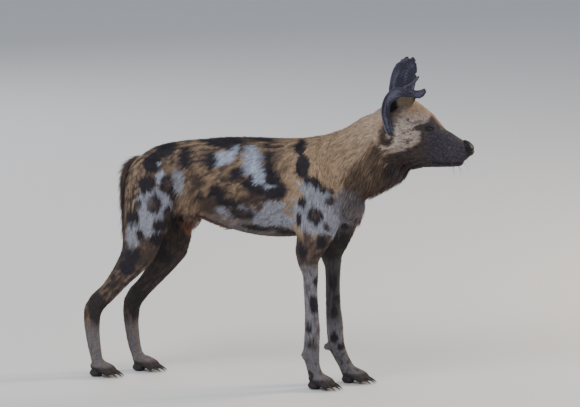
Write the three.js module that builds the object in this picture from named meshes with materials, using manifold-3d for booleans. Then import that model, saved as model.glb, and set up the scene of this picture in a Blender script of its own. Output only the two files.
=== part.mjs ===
// African wild dog, adult male, standing: a still, life-size model in millimetres, +Z up.
// +X is the way the body faces, +Y is the dog's left. The dog stands on z = 0.
import * as THREE from 'three';
import { mergeVertices } from 'three/addons/utils/BufferGeometryUtils.js';
import Module from 'manifold-3d';

const wasm = await Module();
wasm.setup();

// Driving dimensions.
const GAP = 0.3; // between neighbouring sub-parts
const BODY_SIDES = 22;
const LIMB_SIDES = 12;
const HEAD_SIDES = 22;
const HEAD_AT = [290, 24]; // back of the skull, x and y
const HEAD_YAW = THREE.MathUtils.degToRad(12); // the head looks a little to the dog's left
const EYE_RADIUS = 11;
const EYE_AT = [112, 38, 699]; // forward of the skull's back, out from the midline, up
const TO_BOX_CENTRE = [3, -20]; // moves the origin to the middle of the dog's footprint

// Coats and skins.
const COATS = {
  tan_coat: [0x9a7650, 0.85],
  dark_coat: [0x33261f, 0.85],
  pale_coat: [0xb9b3ab, 0.85],
  ear_skin: [0x2b2a31, 0.6],
  nose_skin: [0x17161a, 0.35],
  eye: [0x2a160a, 0.08],
  claw: [0x1d1a18, 0.4],
};
const coats = {};
for (const [name, [color, roughness]] of Object.entries(COATS)) {
  coats[name] = new THREE.MeshStandardMaterial({ name, color, roughness, metalness: 0 });
}

// Closed shapes from rings of points.

function ringsToGeometry(rings) {
  const count = rings[0].length;
  const points = rings.flat();
  const faces = [];
  for (let r = 0; r + 1 < rings.length; r++) {
    for (let i = 0; i < count; i++) {
      const j = (i + 1) % count;
      const a = r * count + i;
      const b = r * count + j;
      faces.push(a, b, b + count, a, b + count, a + count);
    }
  }
  for (const [ring, turn] of [[0, 1], [rings.length - 1, 0]]) {
    const middle = new THREE.Vector3();
    rings[ring].forEach((p) => middle.add(p));
    points.push(middle.divideScalar(count));
    for (let i = 0; i < count; i++) {
      const a = ring * count + i;
      const b = ring * count + ((i + 1) % count);
      faces.push(...(turn ? [b, a, points.length - 1] : [a, b, points.length - 1]));
    }
  }
  const geometry = new THREE.BufferGeometry().setFromPoints(points);
  geometry.setIndex(faces);
  return geometry;
}

function toSolid(geometry) {
  const bare = geometry.clone();
  bare.deleteAttribute('normal');
  bare.deleteAttribute('uv');
  const merged = mergeVertices(bare, 1e-4);
  const build = (triVerts) => new wasm.Manifold(new wasm.Mesh({
    numProp: 3,
    vertProperties: new Float32Array(merged.attributes.position.array),
    triVerts,
  }));
  const index = new Uint32Array(merged.index.array);
  const solid = build(index);
  return solid.volume() > 0 ? solid : build(index.reverse());
}

// Stations of a table, joined by a smooth curve through each column.
function between(rows, t) {
  const last = rows.length - 1;
  const i = Math.min(Math.floor(t), last - 1);
  const f = t - i;
  const [p0, p1, p2, p3] = [-1, 0, 1, 2].map((k) => rows[THREE.MathUtils.clamp(i + k, 0, last)]);
  return p1.map((_, c) => {
    const v0 = (p2[c] - p0[c]) / 2;
    const v1 = (p3[c] - p1[c]) / 2;
    const rise = p1[c] - p2[c];
    return (2 * rise + v0 + v1) * f ** 3 + (-3 * rise - 2 * v0 - v1) * f ** 2 + v0 * f + p1[c];
  });
}

function stations(rows, perRow) {
  const count = Math.round((rows.length - 1) * perRow);
  return Array.from({ length: count + 1 }, (_, k) => between(rows, (k / count) * (rows.length - 1)));
}

const rounded = (c, power) => Math.sign(c) * Math.abs(c) ** (2 / power);

// Upright sections across the body: x, top, bottom, height of the widest place, half width.
function trunk(rows, { perRow = 2, sides = BODY_SIDES, grow = 0, powers = [2, 2.2] } = {}) {
  const rings = stations(rows, perRow).map(([x, top, bottom, widest, half]) => {
    const ring = [];
    for (let i = 0; i < sides; i++) {
      const angle = (i / sides) * 2 * Math.PI;
      const up = Math.cos(angle) > 0;
      const reach = up ? top + grow - widest : widest - bottom + grow;
      const power = up ? powers[0] : powers[1];
      ring.push(new THREE.Vector3(
        x,
        (half + grow) * rounded(Math.sin(angle), power),
        widest + reach * rounded(Math.cos(angle), power),
      ));
    }
    return ring;
  });
  pushOut(rings, grow);
  return ringsToGeometry(rings);
}

function pushOut(rings, grow) {
  const [first, second] = [rings[0][0], rings[1][0]];
  const ends = [[rings[0], first.clone().sub(second)], [rings.at(-1), rings.at(-1)[0].clone().sub(rings.at(-2)[0])]];
  for (const [ring, along] of ends) {
    along.setLength(grow);
    ring.forEach((p) => p.add(along));
  }
}

function sectionAt(rows, t) {
  const last = rows.length - 1;
  const spot = (d) => new THREE.Vector3(...between(rows, THREE.MathUtils.clamp(t + d, 0, last)).slice(0, 3));
  const along = spot(0.3).sub(spot(-0.3)).normalize();
  const side = new THREE.Vector3(0, 1, 0).addScaledVector(along, -along.y).normalize();
  return { at: spot(0), along, side, front: along.clone().cross(side), reach: between(rows, t).slice(3) };
}

function onSection({ at, side, front, reach }, angle, grow = 0, power = 2) {
  const [fore, aft, left, right] = reach;
  const c = rounded(Math.cos(angle), power);
  const s = rounded(Math.sin(angle), power);
  return at.clone()
    .addScaledVector(front, c * ((c > 0 ? fore : aft) + grow))
    .addScaledVector(side, s * ((s > 0 ? left : right) + grow));
}

// Sections square to a limb's own line: x, y, z, fore, aft, left and right reach.
function limb(rows, { perRow = 2, sides = LIMB_SIDES, grow = 0, power = 2 } = {}) {
  const count = Math.round((rows.length - 1) * perRow);
  const rings = Array.from({ length: count + 1 }, (_, k) => {
    const section = sectionAt(rows, (k / count) * (rows.length - 1));
    const angles = Array.from({ length: sides }, (_, i) => (i / sides) * 2 * Math.PI);
    return angles.map((angle) => onSection(section, angle, grow, power));
  });
  pushOut(rings, grow);
  return ringsToGeometry(rings);
}

function blob([x, y, z], [rx, ry, rz], grow = 0, pitch = 0, sides = 12) {
  const geometry = new THREE.SphereGeometry(1, sides, Math.round(sides * 0.6));
  geometry.scale(rx + grow, ry + grow, rz + grow);
  geometry.rotateY(pitch);
  geometry.translate(x, y, z);
  return geometry;
}

// A sheet with thickness: place(u, v) gives a point, u and v run from 0 to 1.
function sheet(place, thickness, stepsU, stepsV) {
  const point = (u, v) => place(THREE.MathUtils.clamp(u, 0, 1), THREE.MathUtils.clamp(v, 0, 1));
  const normal = (u, v) => {
    const d = 0.02;
    const alongU = point(u + d, v).sub(point(u - d, v));
    const alongV = point(u, v + d).sub(point(u, v - d));
    return alongU.cross(alongV).normalize();
  };
  const rings = [];
  for (let i = 0; i <= stepsU; i++) {
    const u = i / stepsU;
    const [front, back] = [[], []];
    for (let j = 0; j <= stepsV; j++) {
      const v = j / stepsV;
      const half = thickness(u, v) / 2;
      front.push(point(u, v).addScaledVector(normal(u, v), half));
      back.push(point(u, v).addScaledVector(normal(u, v), -half));
    }
    rings.push([...front, ...back.reverse()]);
  }
  return stripsToGeometry(rings, stepsV + 1);
}

// Rings of a flat section, closed at both ends by a strip between their two faces.
function stripsToGeometry(rings, across) {
  const count = rings[0].length;
  const faces = [];
  for (let r = 0; r + 1 < rings.length; r++) {
    for (let i = 0; i < count; i++) {
      const a = r * count + i;
      const b = r * count + ((i + 1) % count);
      const flip = i >= across && i < count - 1;
      faces.push(...(flip ? [a, b, a + count, b, b + count, a + count] : [a, b, b + count, a, b + count, a + count]));
    }
  }
  for (const [ring, turn] of [[0, 1], [rings.length - 1, 0]]) {
    for (let j = 0; j + 1 < across; j++) {
      const [a, b] = [ring * count + j, ring * count + j + 1];
      const [c, d] = [ring * count + count - 2 - j, ring * count + count - 1 - j];
      faces.push(...(turn ? [b, a, c, a, d, c] : [a, b, c, a, c, d]));
    }
  }
  const geometry = new THREE.BufferGeometry().setFromPoints(rings.flat());
  geometry.setIndex(faces);
  return geometry;
}

// A flat, tapered, bending lock of hair: it leaves its root along the lie and droops to its tip.
function lock({ root, lie, out, length, width, thick, lift, droop }) {
  const across = lie.clone().cross(out).normalize();
  const outward = across.clone().cross(lie).normalize();
  const shape = [[0, 0.75, 1], [0.38, 1, 0.9], [0.74, 0.7, 0.6], [1, 0.1, 0.2]];
  return ringsToGeometry(shape.map(([t, wide, deep]) => {
    const middle = root.clone()
      .addScaledVector(lie, length * t)
      .addScaledVector(outward, lift * Math.sin(t * 2.6));
    middle.z -= droop * t * t;
    return [[across, width * wide], [outward, thick * deep], [across, -width * wide], [outward, -thick * deep]]
      .map(([way, reach]) => middle.clone().addScaledVector(way, reach / 2));
  }));
}

// Locks on a limb's surface: tiers of t along its rows, angles round it, all from one seeded draw.
let seed = 20;
function random(low, high) {
  seed = (seed * 1103515245 + 12345) % 2147483648;
  return low + (high - low) * (seed / 2147483648);
}

function coatOfLocks(rows, { tiers, angles, lieSign, sunk, spread, size }) {
  return tiers.flatMap((t, tier) => angles.map((angle, k) => {
    const turn = angle + (tier % 2 ? spread / 2 : 0) + random(-0.1, 0.1) * spread;
    const section = sectionAt(rows, t + random(-0.08, 0.08));
    const point = onSection(section, turn);
    const out = point.clone().sub(section.at).normalize();
    const lie = section.along.clone().multiplyScalar(lieSign).addScaledVector(out, 0.18).normalize();
    const { length, width, thick, lift, droop } = size(t, turn);
    return lock({
      root: point.addScaledVector(out, -sunk),
      lie,
      out,
      length: length * random(0.85, 1.15),
      width,
      thick,
      lift,
      droop: droop * random(0.7, 1.3) * (k % 2 ? 1 : 0.8),
    });
  }));
}

const solidOf = (piece) => (piece.isBufferGeometry ? toSolid(piece) : piece);
const join = (...pieces) => pieces.flat().map(solidOf).reduce((a, b) => a.add(b));
const cutAway = (piece, ...tools) => tools.flat().map(solidOf).reduce((a, b) => a.subtract(b), solidOf(piece));

const dog = new THREE.Group();
dog.name = 'african_wild_dog';
dog.position.set(TO_BOX_CENTRE[0], TO_BOX_CENTRE[1], 0);

// Every node keeps its largest closed surface.
function addNode(name, coat, solid) {
  const pieces = solid.decompose();
  const largest = pieces.reduce((a, b) => (b.volume() > a.volume() ? b : a));
  const { vertProperties, triVerts, numProp } = largest.getMesh();
  const points = [];
  for (let i = 0; i < vertProperties.length; i += numProp) {
    points.push(new THREE.Vector3(...vertProperties.subarray(i, i + 3)));
  }
  const geometry = new THREE.BufferGeometry().setFromPoints(points);
  geometry.setIndex([...triVerts]);
  const mesh = new THREE.Mesh(geometry, coats[coat]);
  mesh.name = name;
  dog.add(mesh);
  return largest;
}

// Trunk: x, top, bottom, widest height, half width.
const TRUNK = [
  [-405, 560, 520, 540, 14],
  [-398, 575, 470, 530, 34],
  [-375, 600, 440, 530, 50],
  [-340, 624, 436, 535, 60],
  [-290, 638, 448, 545, 64],
  [-240, 646, 444, 550, 63],
  [-190, 652, 430, 545, 68],
  [-140, 658, 411, 535, 76],
  [-80, 661, 397, 525, 84],
  [-20, 661, 391, 520, 88],
  [40, 662, 393, 525, 86],
  [95, 668, 402, 535, 78],
  [145, 678, 418, 545, 70],
  [190, 676, 438, 555, 62],
  [222, 640, 462, 545, 44],
  [238, 590, 492, 535, 22],
];

function trunkGeometry(grow) {
  return trunk(TRUNK, { grow, perRow: 1.4 });
}
const trunkSolid = toSolid(trunkGeometry(0));
const trunkRoom = toSolid(trunkGeometry(GAP));
addNode('torso', 'tan_coat', trunkSolid);

// Neck: x, y, z, up, down, left and right reach.
const NECK = [
  [110, 0, 570, 92, 100, 66, 66],
  [170, 4, 590, 92, 106, 68, 68],
  [228, 12, 616, 88, 98, 63, 63],
  [280, 23, 650, 80, 97, 57, 57],
  [318, 31, 676, 60, 80, 50, 50],
];

function neckGeometry(grow) {
  return limb(NECK, { grow, perRow: 2.5, sides: 20, power: 2.1 });
}

// Head, in its own frame: x forward from the back of the skull, y to the left, z up from the floor.
const headPlace = new THREE.Matrix4()
  .makeTranslation(HEAD_AT[0], HEAD_AT[1], 0)
  .multiply(new THREE.Matrix4().makeRotationZ(HEAD_YAW));
const SKULL = [
  [-34, 732, 620, 680, 36],
  [-15, 746, 612, 682, 54],
  [10, 760, 604, 684, 64],
  [35, 770, 597, 684, 68],
  [58, 774, 592, 682, 70],
  [80, 764, 590, 676, 63],
  [102, 749, 590, 670, 53],
  [122, 733, 590, 662, 45],
  [140, 714, 590, 652, 39],
  [156, 693, 591, 645, 36],
  [175, 681, 591, 638, 34],
  [195, 668, 596, 634, 33],
  [210, 659, 608, 633, 29],
  [221, 651, 620, 633, 21],
  [228, 644, 629, 636, 10],
];
const inHead = (geometry) => geometry.applyMatrix4(headPlace);
const sides = { right: -1, left: 1 };
const bothSides = (make) => Object.values(sides).map(make);

// Cheek bones, brows, full upper lips and the mounds that the ears stand on.
const HEAD_SWELLINGS = [
  [[106, 24, 717], [24, 14, 10], 0.55],
  [[176, 17, 622], [38, 15, 20], 0.12],
  [[40, 36, 742], [32, 20, 24], -0.3],
];
const at = ([forward, out, up], side) => [forward, side * out, up];
function headSolid(grow) {
  const swellings = HEAD_SWELLINGS.flatMap(([spot, radii, pitch]) => (
    bothSides((side) => inHead(blob(at(spot, side), radii, grow, pitch, 10)))
  ));
  return join(inHead(trunk(SKULL, { grow, perRow: 1.25, sides: HEAD_SIDES, powers: [2.1, 2.3] })), swellings);
}
const headRoom = headSolid(GAP);

// Nose pad with two nostrils, on the end of the muzzle.
const NOSE = [[[220, 0, 638], [13, 15, 12], 0.2]];
const noseSolid = (grow) => join(NOSE.map(([spot, radii, pitch]) => inHead(blob(spot, radii, grow, pitch))));
const nostrils = bothSides((side) => toSolid(inHead(limb([
  [233, side * 7, 641, 3.4, 3.4, 3, 3],
  [226, side * 9, 640, 3.2, 3.2, 3, 3],
  [219, side * 15, 636, 1.6, 1.6, 1.6, 1.6],
], { perRow: 1, sides: 6 }))));
addNode('nose', 'nose_skin', cutAway(noseSolid(0), nostrils));

// Eyes with an upper and a lower lid.
const eyeball = (side, grow) => toSolid(inHead(blob(at(EYE_AT, side), Array(3).fill(EYE_RADIUS), grow)));
const LID_ROUND = EYE_RADIUS + 1.2;
const LID_THICK = 2.6;
function lid(side, upper) {
  const rows = Array.from({ length: 6 }, (_, k) => {
    const turn = (k / 5 - 0.5) * Math.PI;
    const rise = upper ? Math.cos(turn) * 5.5 : -Math.cos(turn) * 4.5;
    const across = Math.sin(turn) * LID_ROUND;
    const out = Math.sqrt(LID_ROUND ** 2 - across ** 2 * 0.55 - rise ** 2 * 0.6);
    const [facing, square] = [0.62, 0.78];
    return [
      EYE_AT[0] + out * facing + across * square,
      side * (EYE_AT[1] + out * square - across * facing),
      EYE_AT[2] + rise + across * 0.12 * -1,
      ...Array(4).fill(LID_THICK),
    ];
  });
  return toSolid(inHead(limb(rows, { perRow: 1, sides: 6 })));
}
const lids = bothSides((side) => [lid(side, true), lid(side, false)]).flat();

// The line of the mouth, from under the nose to below the eye, with an upper lip over it.
const MOUTH = [
  [222, 0, 617],
  [212, 12, 611],
  [196, 22, 604],
  [172, 29, 601],
  [145, 34, 600],
  [122, 42, 604],
];
const mouthTube = (side, radius, rise, inset) => toSolid(inHead(limb(
  MOUTH.map(([x, out, z]) => [x - inset, side * (out - inset), z + rise, ...Array(4).fill(radius)]),
  { perRow: 1, sides: 6 },
)));
const lips = bothSides((side) => mouthTube(side, 4.5, 5, 2.5));
const mouthLines = bothSides((side) => mouthTube(side, 1.3, 0, -1));

let head = join(headSolid(0), lids, lips);
head = cutAway(head, mouthLines, noseSolid(GAP), nostrils, bothSides((side) => eyeball(side, GAP)));
addNode('head', 'pale_coat', head);
for (const [name, side] of Object.entries(sides)) {
  addNode('eye_' + name, 'eye', eyeball(side, 0));
}

// Left ear: an upright oval cup, open forward and outward, its top edge torn.
const LEFT_EAR = [
  [36, 38, 730, 24, 24],
  [37, 49, 762, 31, 26],
  [39, 63, 790, 36, 22],
  [44, 78, 818, 38, 16],
  [49, 88, 842, 32, 10],
  [56, 93, 858, 19, 6],
  [60, 95, 866, 7, 3],
];
const EAR_TURN = THREE.MathUtils.degToRad(60);
const EAR_THICK = 5;
function leftEar(u, v) {
  const [x, out, z, half, depth] = between(LEFT_EAR, u * (LEFT_EAR.length - 1));
  const sweep = THREE.MathUtils.degToRad(THREE.MathUtils.lerp(112, 78, u)) * (2 * v - 1);
  const [wide, deep] = [half * Math.sin(sweep), depth * Math.cos(sweep)];
  return new THREE.Vector3(
    x - wide * Math.sin(EAR_TURN) - deep * Math.cos(EAR_TURN),
    out + wide * Math.cos(EAR_TURN) - deep * Math.sin(EAR_TURN),
    z,
  );
}

// Right ear: torn and curled forward, a hood over its own cup that ends in an upturned point.
const RIGHT_EAR = [
  [[16, 46, 690], [6, 66, 692], [21, 74, 712]],
  [[10, 46, 718], [-6, 76, 740], [13, 90, 746]],
  [[14, 42, 738], [-1, 76, 776], [16, 95, 771]],
  [[30, 36, 748], [19, 74, 802], [37, 95, 789]],
  [[50, 34, 752], [45, 72, 806], [62, 93, 791]],
  [[68, 40, 752], [70, 72, 801], [84, 90, 787]],
  [[84, 62, 780], [90, 74, 802], [98, 86, 790]],
  [[99, 73, 801], [103, 77, 810], [107, 80, 802]],
];
function rightEar(u, v) {
  const [root, crest, lip] = between(
    RIGHT_EAR.map((row) => row.flat()),
    u * (RIGHT_EAR.length - 1),
  ).reduce((spots, n, k) => {
    spots[Math.floor(k / 3)].push(n);
    return spots;
  }, [[], [], []]).map(([x, out, z]) => new THREE.Vector3(x, -out, z));
  const middle = crest.multiplyScalar(2).addScaledVector(root.clone().add(lip), -0.5);
  return new THREE.QuadraticBezierCurve3(root, middle, lip).getPoint(v);
}
const EAR_STRIP = [
  [28, -64, 800, 2.2, 2.2, 9, 9],
  [57, -62, 811, 2, 2, 8, 8],
  [74, -60, 820, 2, 2, 6, 6],
  [84, -58, 831, 2, 2, 4, 4],
  [89, -58, 836, 1, 1, 1.5, 1.5],
];
const earThickness = (u, v) => EAR_THICK - 2 * Math.max(u, 0) - 0.5 * v;
const leftCup = toSolid(inHead(sheet(leftEar, earThickness, 10, 10)));
const rightCup = toSolid(inHead(sheet(rightEar, earThickness, 13, 5)));
const strip = toSolid(inHead(limb(EAR_STRIP, { perRow: 2, sides: 6 })));
addNode('ear_left', 'ear_skin', cutAway(leftCup, headRoom, toSolid(neckGeometry(GAP))));
addNode('ear_right', 'ear_skin', cutAway(rightCup.add(strip), headRoom, toSolid(neckGeometry(GAP))));

// Legs: x, z, distance out from the midline, fore, aft, outward and inward reach.
const LEGS = {
  fore_right: [
    [98, 650, 42, 26, 26, 14, 14],
    [108, 610, 50, 42, 42, 28, 26],
    [122, 560, 56, 56, 56, 31, 34],
    [130, 505, 58, 64, 68, 32, 36],
    [128, 450, 60, 66, 70, 31, 34],
    [118, 400, 62, 48, 55, 28, 30],
    [102, 352, 63, 37, 40, 24, 24],
    [108, 316, 61, 27, 27, 21, 20],
    [108, 264, 58, 24, 24, 18, 18],
    [111, 203, 56, 21, 21, 16, 16],
    [112, 141, 55, 21, 21, 16.5, 16.5],
    [109, 96, 54, 22, 22, 18, 18],
    [113, 58, 53, 20, 18, 17, 17],
    [124, 24, 52, 24, 22, 22, 22],
  ],
  fore_left: [
    [112, 650, 42, 26, 26, 14, 14],
    [124, 610, 50, 42, 42, 28, 26],
    [142, 560, 56, 56, 56, 31, 34],
    [152, 505, 58, 64, 68, 32, 36],
    [149, 450, 60, 68, 70, 31, 34],
    [142, 400, 62, 52, 55, 28, 30],
    [130, 352, 62, 42, 40, 24, 24],
    [136, 316, 60, 28, 28, 21, 20],
    [137, 264, 57, 25, 25, 18, 18],
    [139, 203, 55, 23, 23, 16, 16],
    [144, 145, 54, 23, 23, 16.5, 16.5],
    [148, 98, 53, 22, 22, 18, 18],
    [166, 58, 52, 20, 18, 17, 17],
    [186, 26, 52, 22, 22, 22, 22],
  ],
  hind_right: [
    [-336, 600, 40, 36, 42, 18, 18],
    [-345, 545, 48, 64, 62, 32, 30],
    [-345, 490, 53, 82, 68, 35, 34],
    [-345, 440, 56, 80, 70, 34, 35],
    [-352, 395, 60, 60, 65, 31, 33],
    [-362, 352, 62, 54, 55, 28, 29],
    [-388, 312, 62, 44, 42, 25, 25],
    [-420, 270, 60, 33, 34, 21, 21],
    [-455, 230, 57, 28, 29, 17, 17],
    [-490, 193, 55, 26, 30, 16, 16],
    [-500, 160, 54, 23, 24, 15, 15],
    [-499, 115, 53, 20, 20, 14.5, 14.5],
    [-493, 72, 52, 17.5, 17.5, 15, 15],
    [-487, 44, 52, 17, 18, 16, 16],
    [-481, 24, 52, 21, 20, 20, 20],
  ],
  hind_left: [
    [-330, 600, 40, 36, 42, 18, 18],
    [-336, 545, 48, 64, 62, 32, 30],
    [-330, 490, 53, 78, 72, 35, 34],
    [-320, 440, 56, 76, 76, 34, 35],
    [-313, 395, 60, 62, 66, 31, 33],
    [-310, 352, 62, 56, 56, 28, 29],
    [-330, 312, 62, 46, 42, 25, 25],
    [-358, 270, 60, 36, 34, 21, 21],
    [-388, 232, 57, 29, 29, 17, 17],
    [-416, 196, 55, 26, 30, 16, 16],
    [-425, 160, 54, 23, 24, 15, 15],
    [-422, 112, 53, 19, 20, 14.5, 14.5],
    [-416, 72, 52, 17.5, 17.5, 15, 15],
    [-408, 44, 52, 17, 18, 16, 16],
    [-396, 24, 52, 21, 20, 20, 20],
  ],
};

// Cuts that part each leg: x, z and pitch of the cut, at elbow and wrist or knee and hock.
const LEG_CUTS = {
  fore_right: [[104, 334, 0], [110, 100, 0]],
  fore_left: [[132, 334, 0], [147, 102, 0]],
  hind_right: [[-376, 332, 0.55], [-489, 196, 0.5]],
  hind_left: [[-320, 330, 0.45], [-414, 200, 0.5]],
};
const LEG_PIECES = {
  fore: ['upper_arm', 'forearm', 'forefoot'],
  hind: ['thigh', 'shank', 'hindfoot'],
};

// Feet: middle of the sole, x and distance out, and the way the toes point.
const FEET = {
  fore_right: [122, 52, -4],
  fore_left: [186, 52, 2],
  hind_right: [-485, 52, 0],
  hind_left: [-398, 52, 2],
};
const TOE_SPREAD = [-23, -8, 8, 23];
const TOE_FORWARD = [0, 9, 9, 0];
const TOE = [
  [-14, 33, 11],
  [10, 29, 12.5],
  [28, 19, 12],
  [40, 10, 8.5],
];
const CLAW = [
  [40, 12, 4],
  [48, 12, 3.4],
  [56, 8, 2.2],
  [62, 2.5, 0.8],
];
const PAD = [[-4, 0, 10], [20, 23, 13]];
const CARPAL_PADS = {
  fore_right: [[90, 58, 90], [9, 9, 13]],
  fore_left: [[120, 57, 92], [11, 9, 12]],
};

const sideOf = (name) => (name.endsWith('right') ? -1 : 1);

function legGeometry(name, grow) {
  const side = sideOf(name);
  const rows = LEGS[name].map(([x, z, out, fore, aft, outward, inward]) => {
    const reach = side > 0 ? [outward, inward] : [inward, outward];
    return [x, side * out, z, fore, aft, ...reach];
  });
  return limb(rows, { grow, perRow: 1.5 });
}

function inFoot(name, geometry) {
  const [x, out, turn] = FEET[name];
  return geometry
    .applyMatrix4(new THREE.Matrix4().makeRotationZ(THREE.MathUtils.degToRad(turn)))
    .translate(x, sideOf(name) * out, 0);
}

// A chain of round stations ahead of the foot, shared by toes and claws.
function toeChain(rows, k, grow, sides) {
  const spread = TOE_SPREAD[k];
  const rowsHere = rows.map(([forward, up, radius], i) => {
    const fan = spread * (0.45 + (0.55 * Math.min(i, 2)) / 2);
    const out = rows === CLAW ? spread : fan;
    return [forward + TOE_FORWARD[k], out, up, ...Array(4).fill(radius)];
  });
  return limb(rowsHere, { grow, perRow: 1, sides });
}

const floorCut = new THREE.BoxGeometry(1600, 400, 60).translate(0, 0, -30);
function footSolid(name, grow) {
  const toes = TOE_SPREAD.map((_, k) => inFoot(name, toeChain(TOE, k, grow, 7)));
  return join(toes, inFoot(name, blob(PAD[0], PAD[1], grow, 0, 10)));
}

for (const name of Object.keys(LEGS)) {
  const side = sideOf(name);
  const pads = name in CARPAL_PADS ? [blob(at(CARPAL_PADS[name][0], side), CARPAL_PADS[name][1], 0, 0, 8)] : [];
  const whole = cutAway(
    join(legGeometry(name, 0), footSolid(name, 0), pads),
    trunkRoom,
    neckGeometry(GAP),
    floorCut,
  );
  const cuts = LEG_CUTS[name].map(([x, z, pitch]) => new THREE.BoxGeometry(150, 100, GAP)
    .rotateY(pitch)
    .translate(x, side * FEET[name][1], z));
  const lengths = cutAway(whole, cuts).decompose()
    .sort((a, b) => b.volume() - a.volume())
    .slice(0, 3)
    .sort((a, b) => b.boundingBox().max[2] - a.boundingBox().max[2]);
  const [pair, flank] = name.split('_');
  LEG_PIECES[pair].forEach((piece, k) => addNode(piece + '_' + flank, 'tan_coat', lengths[k]));
  TOE_SPREAD.forEach((_, k) => {
    const claw = inFoot(name, toeChain(CLAW, k, 0, 6));
    addNode('claw_' + name + '_' + (k + 1), 'claw', cutAway(claw, footSolid(name, GAP), floorCut));
  });
}

const legRoom = (name) => toSolid(legGeometry(name, GAP));
const foreRooms = ['fore_right', 'fore_left'].map(legRoom);
const hindRooms = ['hind_right', 'hind_left'].map(legRoom);

// Neck, with the ruff under it: long locks on throat and lower neck that lie back and hang.
const ruff = coatOfLocks(NECK, {
  tiers: [1.25, 2.0, 2.7, 3.4, 3.95],
  angles: [112, 139, 166, 193, 220, 247].map(THREE.MathUtils.degToRad),
  spread: THREE.MathUtils.degToRad(27),
  lieSign: -1,
  sunk: 12,
  size: (t) => ({ length: 62 - 4 * t, width: 27, thick: 9, lift: 11, droop: 9 }),
});
const ruffClear = cutAway(join(ruff), foreRooms);
addNode('neck', 'tan_coat', cutAway(join(neckGeometry(0), ruffClear), trunkRoom, headRoom));

// Tail: hangs straight down behind the thighs, a slim core in long locks that end in a brush.
const TAIL = [
  [-388, 0, 588, 13, 13, 13, 13],
  [-408, 2, 562, 17, 15, 16, 16],
  [-420, 5, 515, 15, 14, 15, 15],
  [-421, 8, 450, 13, 13, 14, 14],
  [-420, 10, 385, 12, 12, 14, 14],
  [-420, 10, 325, 9, 9, 10, 10],
  [-422, 10, 290, 5, 5, 6, 6],
];
const brush = coatOfLocks(TAIL, {
  tiers: [1.6, 2.5, 3.4, 4.3, 5.1, 5.8],
  angles: [0, 90, 180, 270].map(THREE.MathUtils.degToRad),
  spread: THREE.MathUtils.degToRad(90),
  lieSign: 1,
  sunk: 6,
  size: (t) => ({ length: 84 - 4 * Math.abs(t - 4), width: 21, thick: 8, lift: t < 5 ? 7 : 3, droop: 0 }),
});
addNode('tail', 'dark_coat', cutAway(
  join(limb(TAIL, { perRow: 1.5, sides: 10 }), brush),
  trunkRoom,
  hindRooms,
));

// Groin tuft: hair that hangs from the belly between the thighs.
const GROIN_TUFT = [
  [-232, 0, 462, 20, 20, 14, 14],
  [-236, 0, 440, 16, 16, 12, 12],
  [-240, 0, 418, 7, 7, 6, 6],
];
const groinHair = coatOfLocks(GROIN_TUFT, {
  tiers: [0.7, 1.4],
  angles: [0, 72, 144, 216, 288].map(THREE.MathUtils.degToRad),
  spread: THREE.MathUtils.degToRad(72),
  lieSign: 1,
  sunk: 6,
  size: () => ({ length: 42, width: 15, thick: 7, lift: 3, droop: 0 }),
});
addNode('groin_tuft', 'dark_coat', cutAway(
  join(limb(GROIN_TUFT, { perRow: 1.5, sides: 8 }), groinHair),
  trunkRoom,
  hindRooms,
));

export default dog;
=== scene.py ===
import math

import bmesh
import bpy
import numpy as np
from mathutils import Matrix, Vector


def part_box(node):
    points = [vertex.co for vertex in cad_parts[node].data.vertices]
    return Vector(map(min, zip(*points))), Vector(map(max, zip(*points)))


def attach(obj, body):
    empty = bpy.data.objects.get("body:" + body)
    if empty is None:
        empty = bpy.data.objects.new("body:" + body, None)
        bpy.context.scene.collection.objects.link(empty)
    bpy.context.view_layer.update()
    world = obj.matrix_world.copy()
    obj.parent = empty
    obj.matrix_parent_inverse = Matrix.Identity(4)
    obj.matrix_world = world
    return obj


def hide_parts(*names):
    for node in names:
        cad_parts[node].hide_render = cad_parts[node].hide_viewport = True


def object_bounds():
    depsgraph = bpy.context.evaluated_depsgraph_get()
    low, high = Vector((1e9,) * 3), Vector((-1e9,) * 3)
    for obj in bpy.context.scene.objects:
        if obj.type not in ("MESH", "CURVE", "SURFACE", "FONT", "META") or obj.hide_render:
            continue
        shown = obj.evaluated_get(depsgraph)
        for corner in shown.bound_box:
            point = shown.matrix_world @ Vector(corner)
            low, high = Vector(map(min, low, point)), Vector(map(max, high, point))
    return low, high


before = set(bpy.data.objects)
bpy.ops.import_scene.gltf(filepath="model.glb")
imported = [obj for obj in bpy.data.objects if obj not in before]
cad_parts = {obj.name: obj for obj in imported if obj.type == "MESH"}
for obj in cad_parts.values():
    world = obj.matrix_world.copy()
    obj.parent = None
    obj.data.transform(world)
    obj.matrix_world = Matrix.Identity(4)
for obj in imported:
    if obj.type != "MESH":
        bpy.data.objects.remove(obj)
cad_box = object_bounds()

# Floor, camera and studio light.
# A pale matt floor takes the whole view. The camera stands 12 m off, ahead of the dog's right
# side and a little above it, and three soft lamps stand for the sky and a low warm sun.
MM = 0.001
AIM = Vector((0.038, -0.020, 0.4838))
CAMERA_AZIMUTH = math.radians(16)
CAMERA_HEIGHT = math.radians(9.5)
CAMERA_DISTANCE = 12.0
PIXEL_AT_DOG = 0.00264
FRAME_WIDTH = 580
SENSOR_WIDTH = 36
FLOOR_HALF = 40
FLOOR_COLOUR = (0.72, 0.71, 0.69, 1)
LAMP_AIM = Vector((0, 0, 0.45))
SKY_COLOUR = (0.77, 0.84, 0.97, 1)
SKY_STRENGTH = 0.55


def place_new(name, data):
    """A new object for the data, put into the scene."""
    thing = bpy.data.objects.new(name, data)
    bpy.context.scene.collection.objects.link(thing)
    return thing


def new_material(name, roughness, specular=0.5):
    """A material with its nodes, its links and its shader."""
    material = bpy.data.materials.new(name)
    material.use_nodes = True
    nodes, links = material.node_tree.nodes, material.node_tree.links
    shader = nodes["Principled BSDF"]
    shader.inputs["Roughness"].default_value = roughness
    shader.inputs["Specular IOR Level"].default_value = specular
    return material, nodes, links, shader


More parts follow.
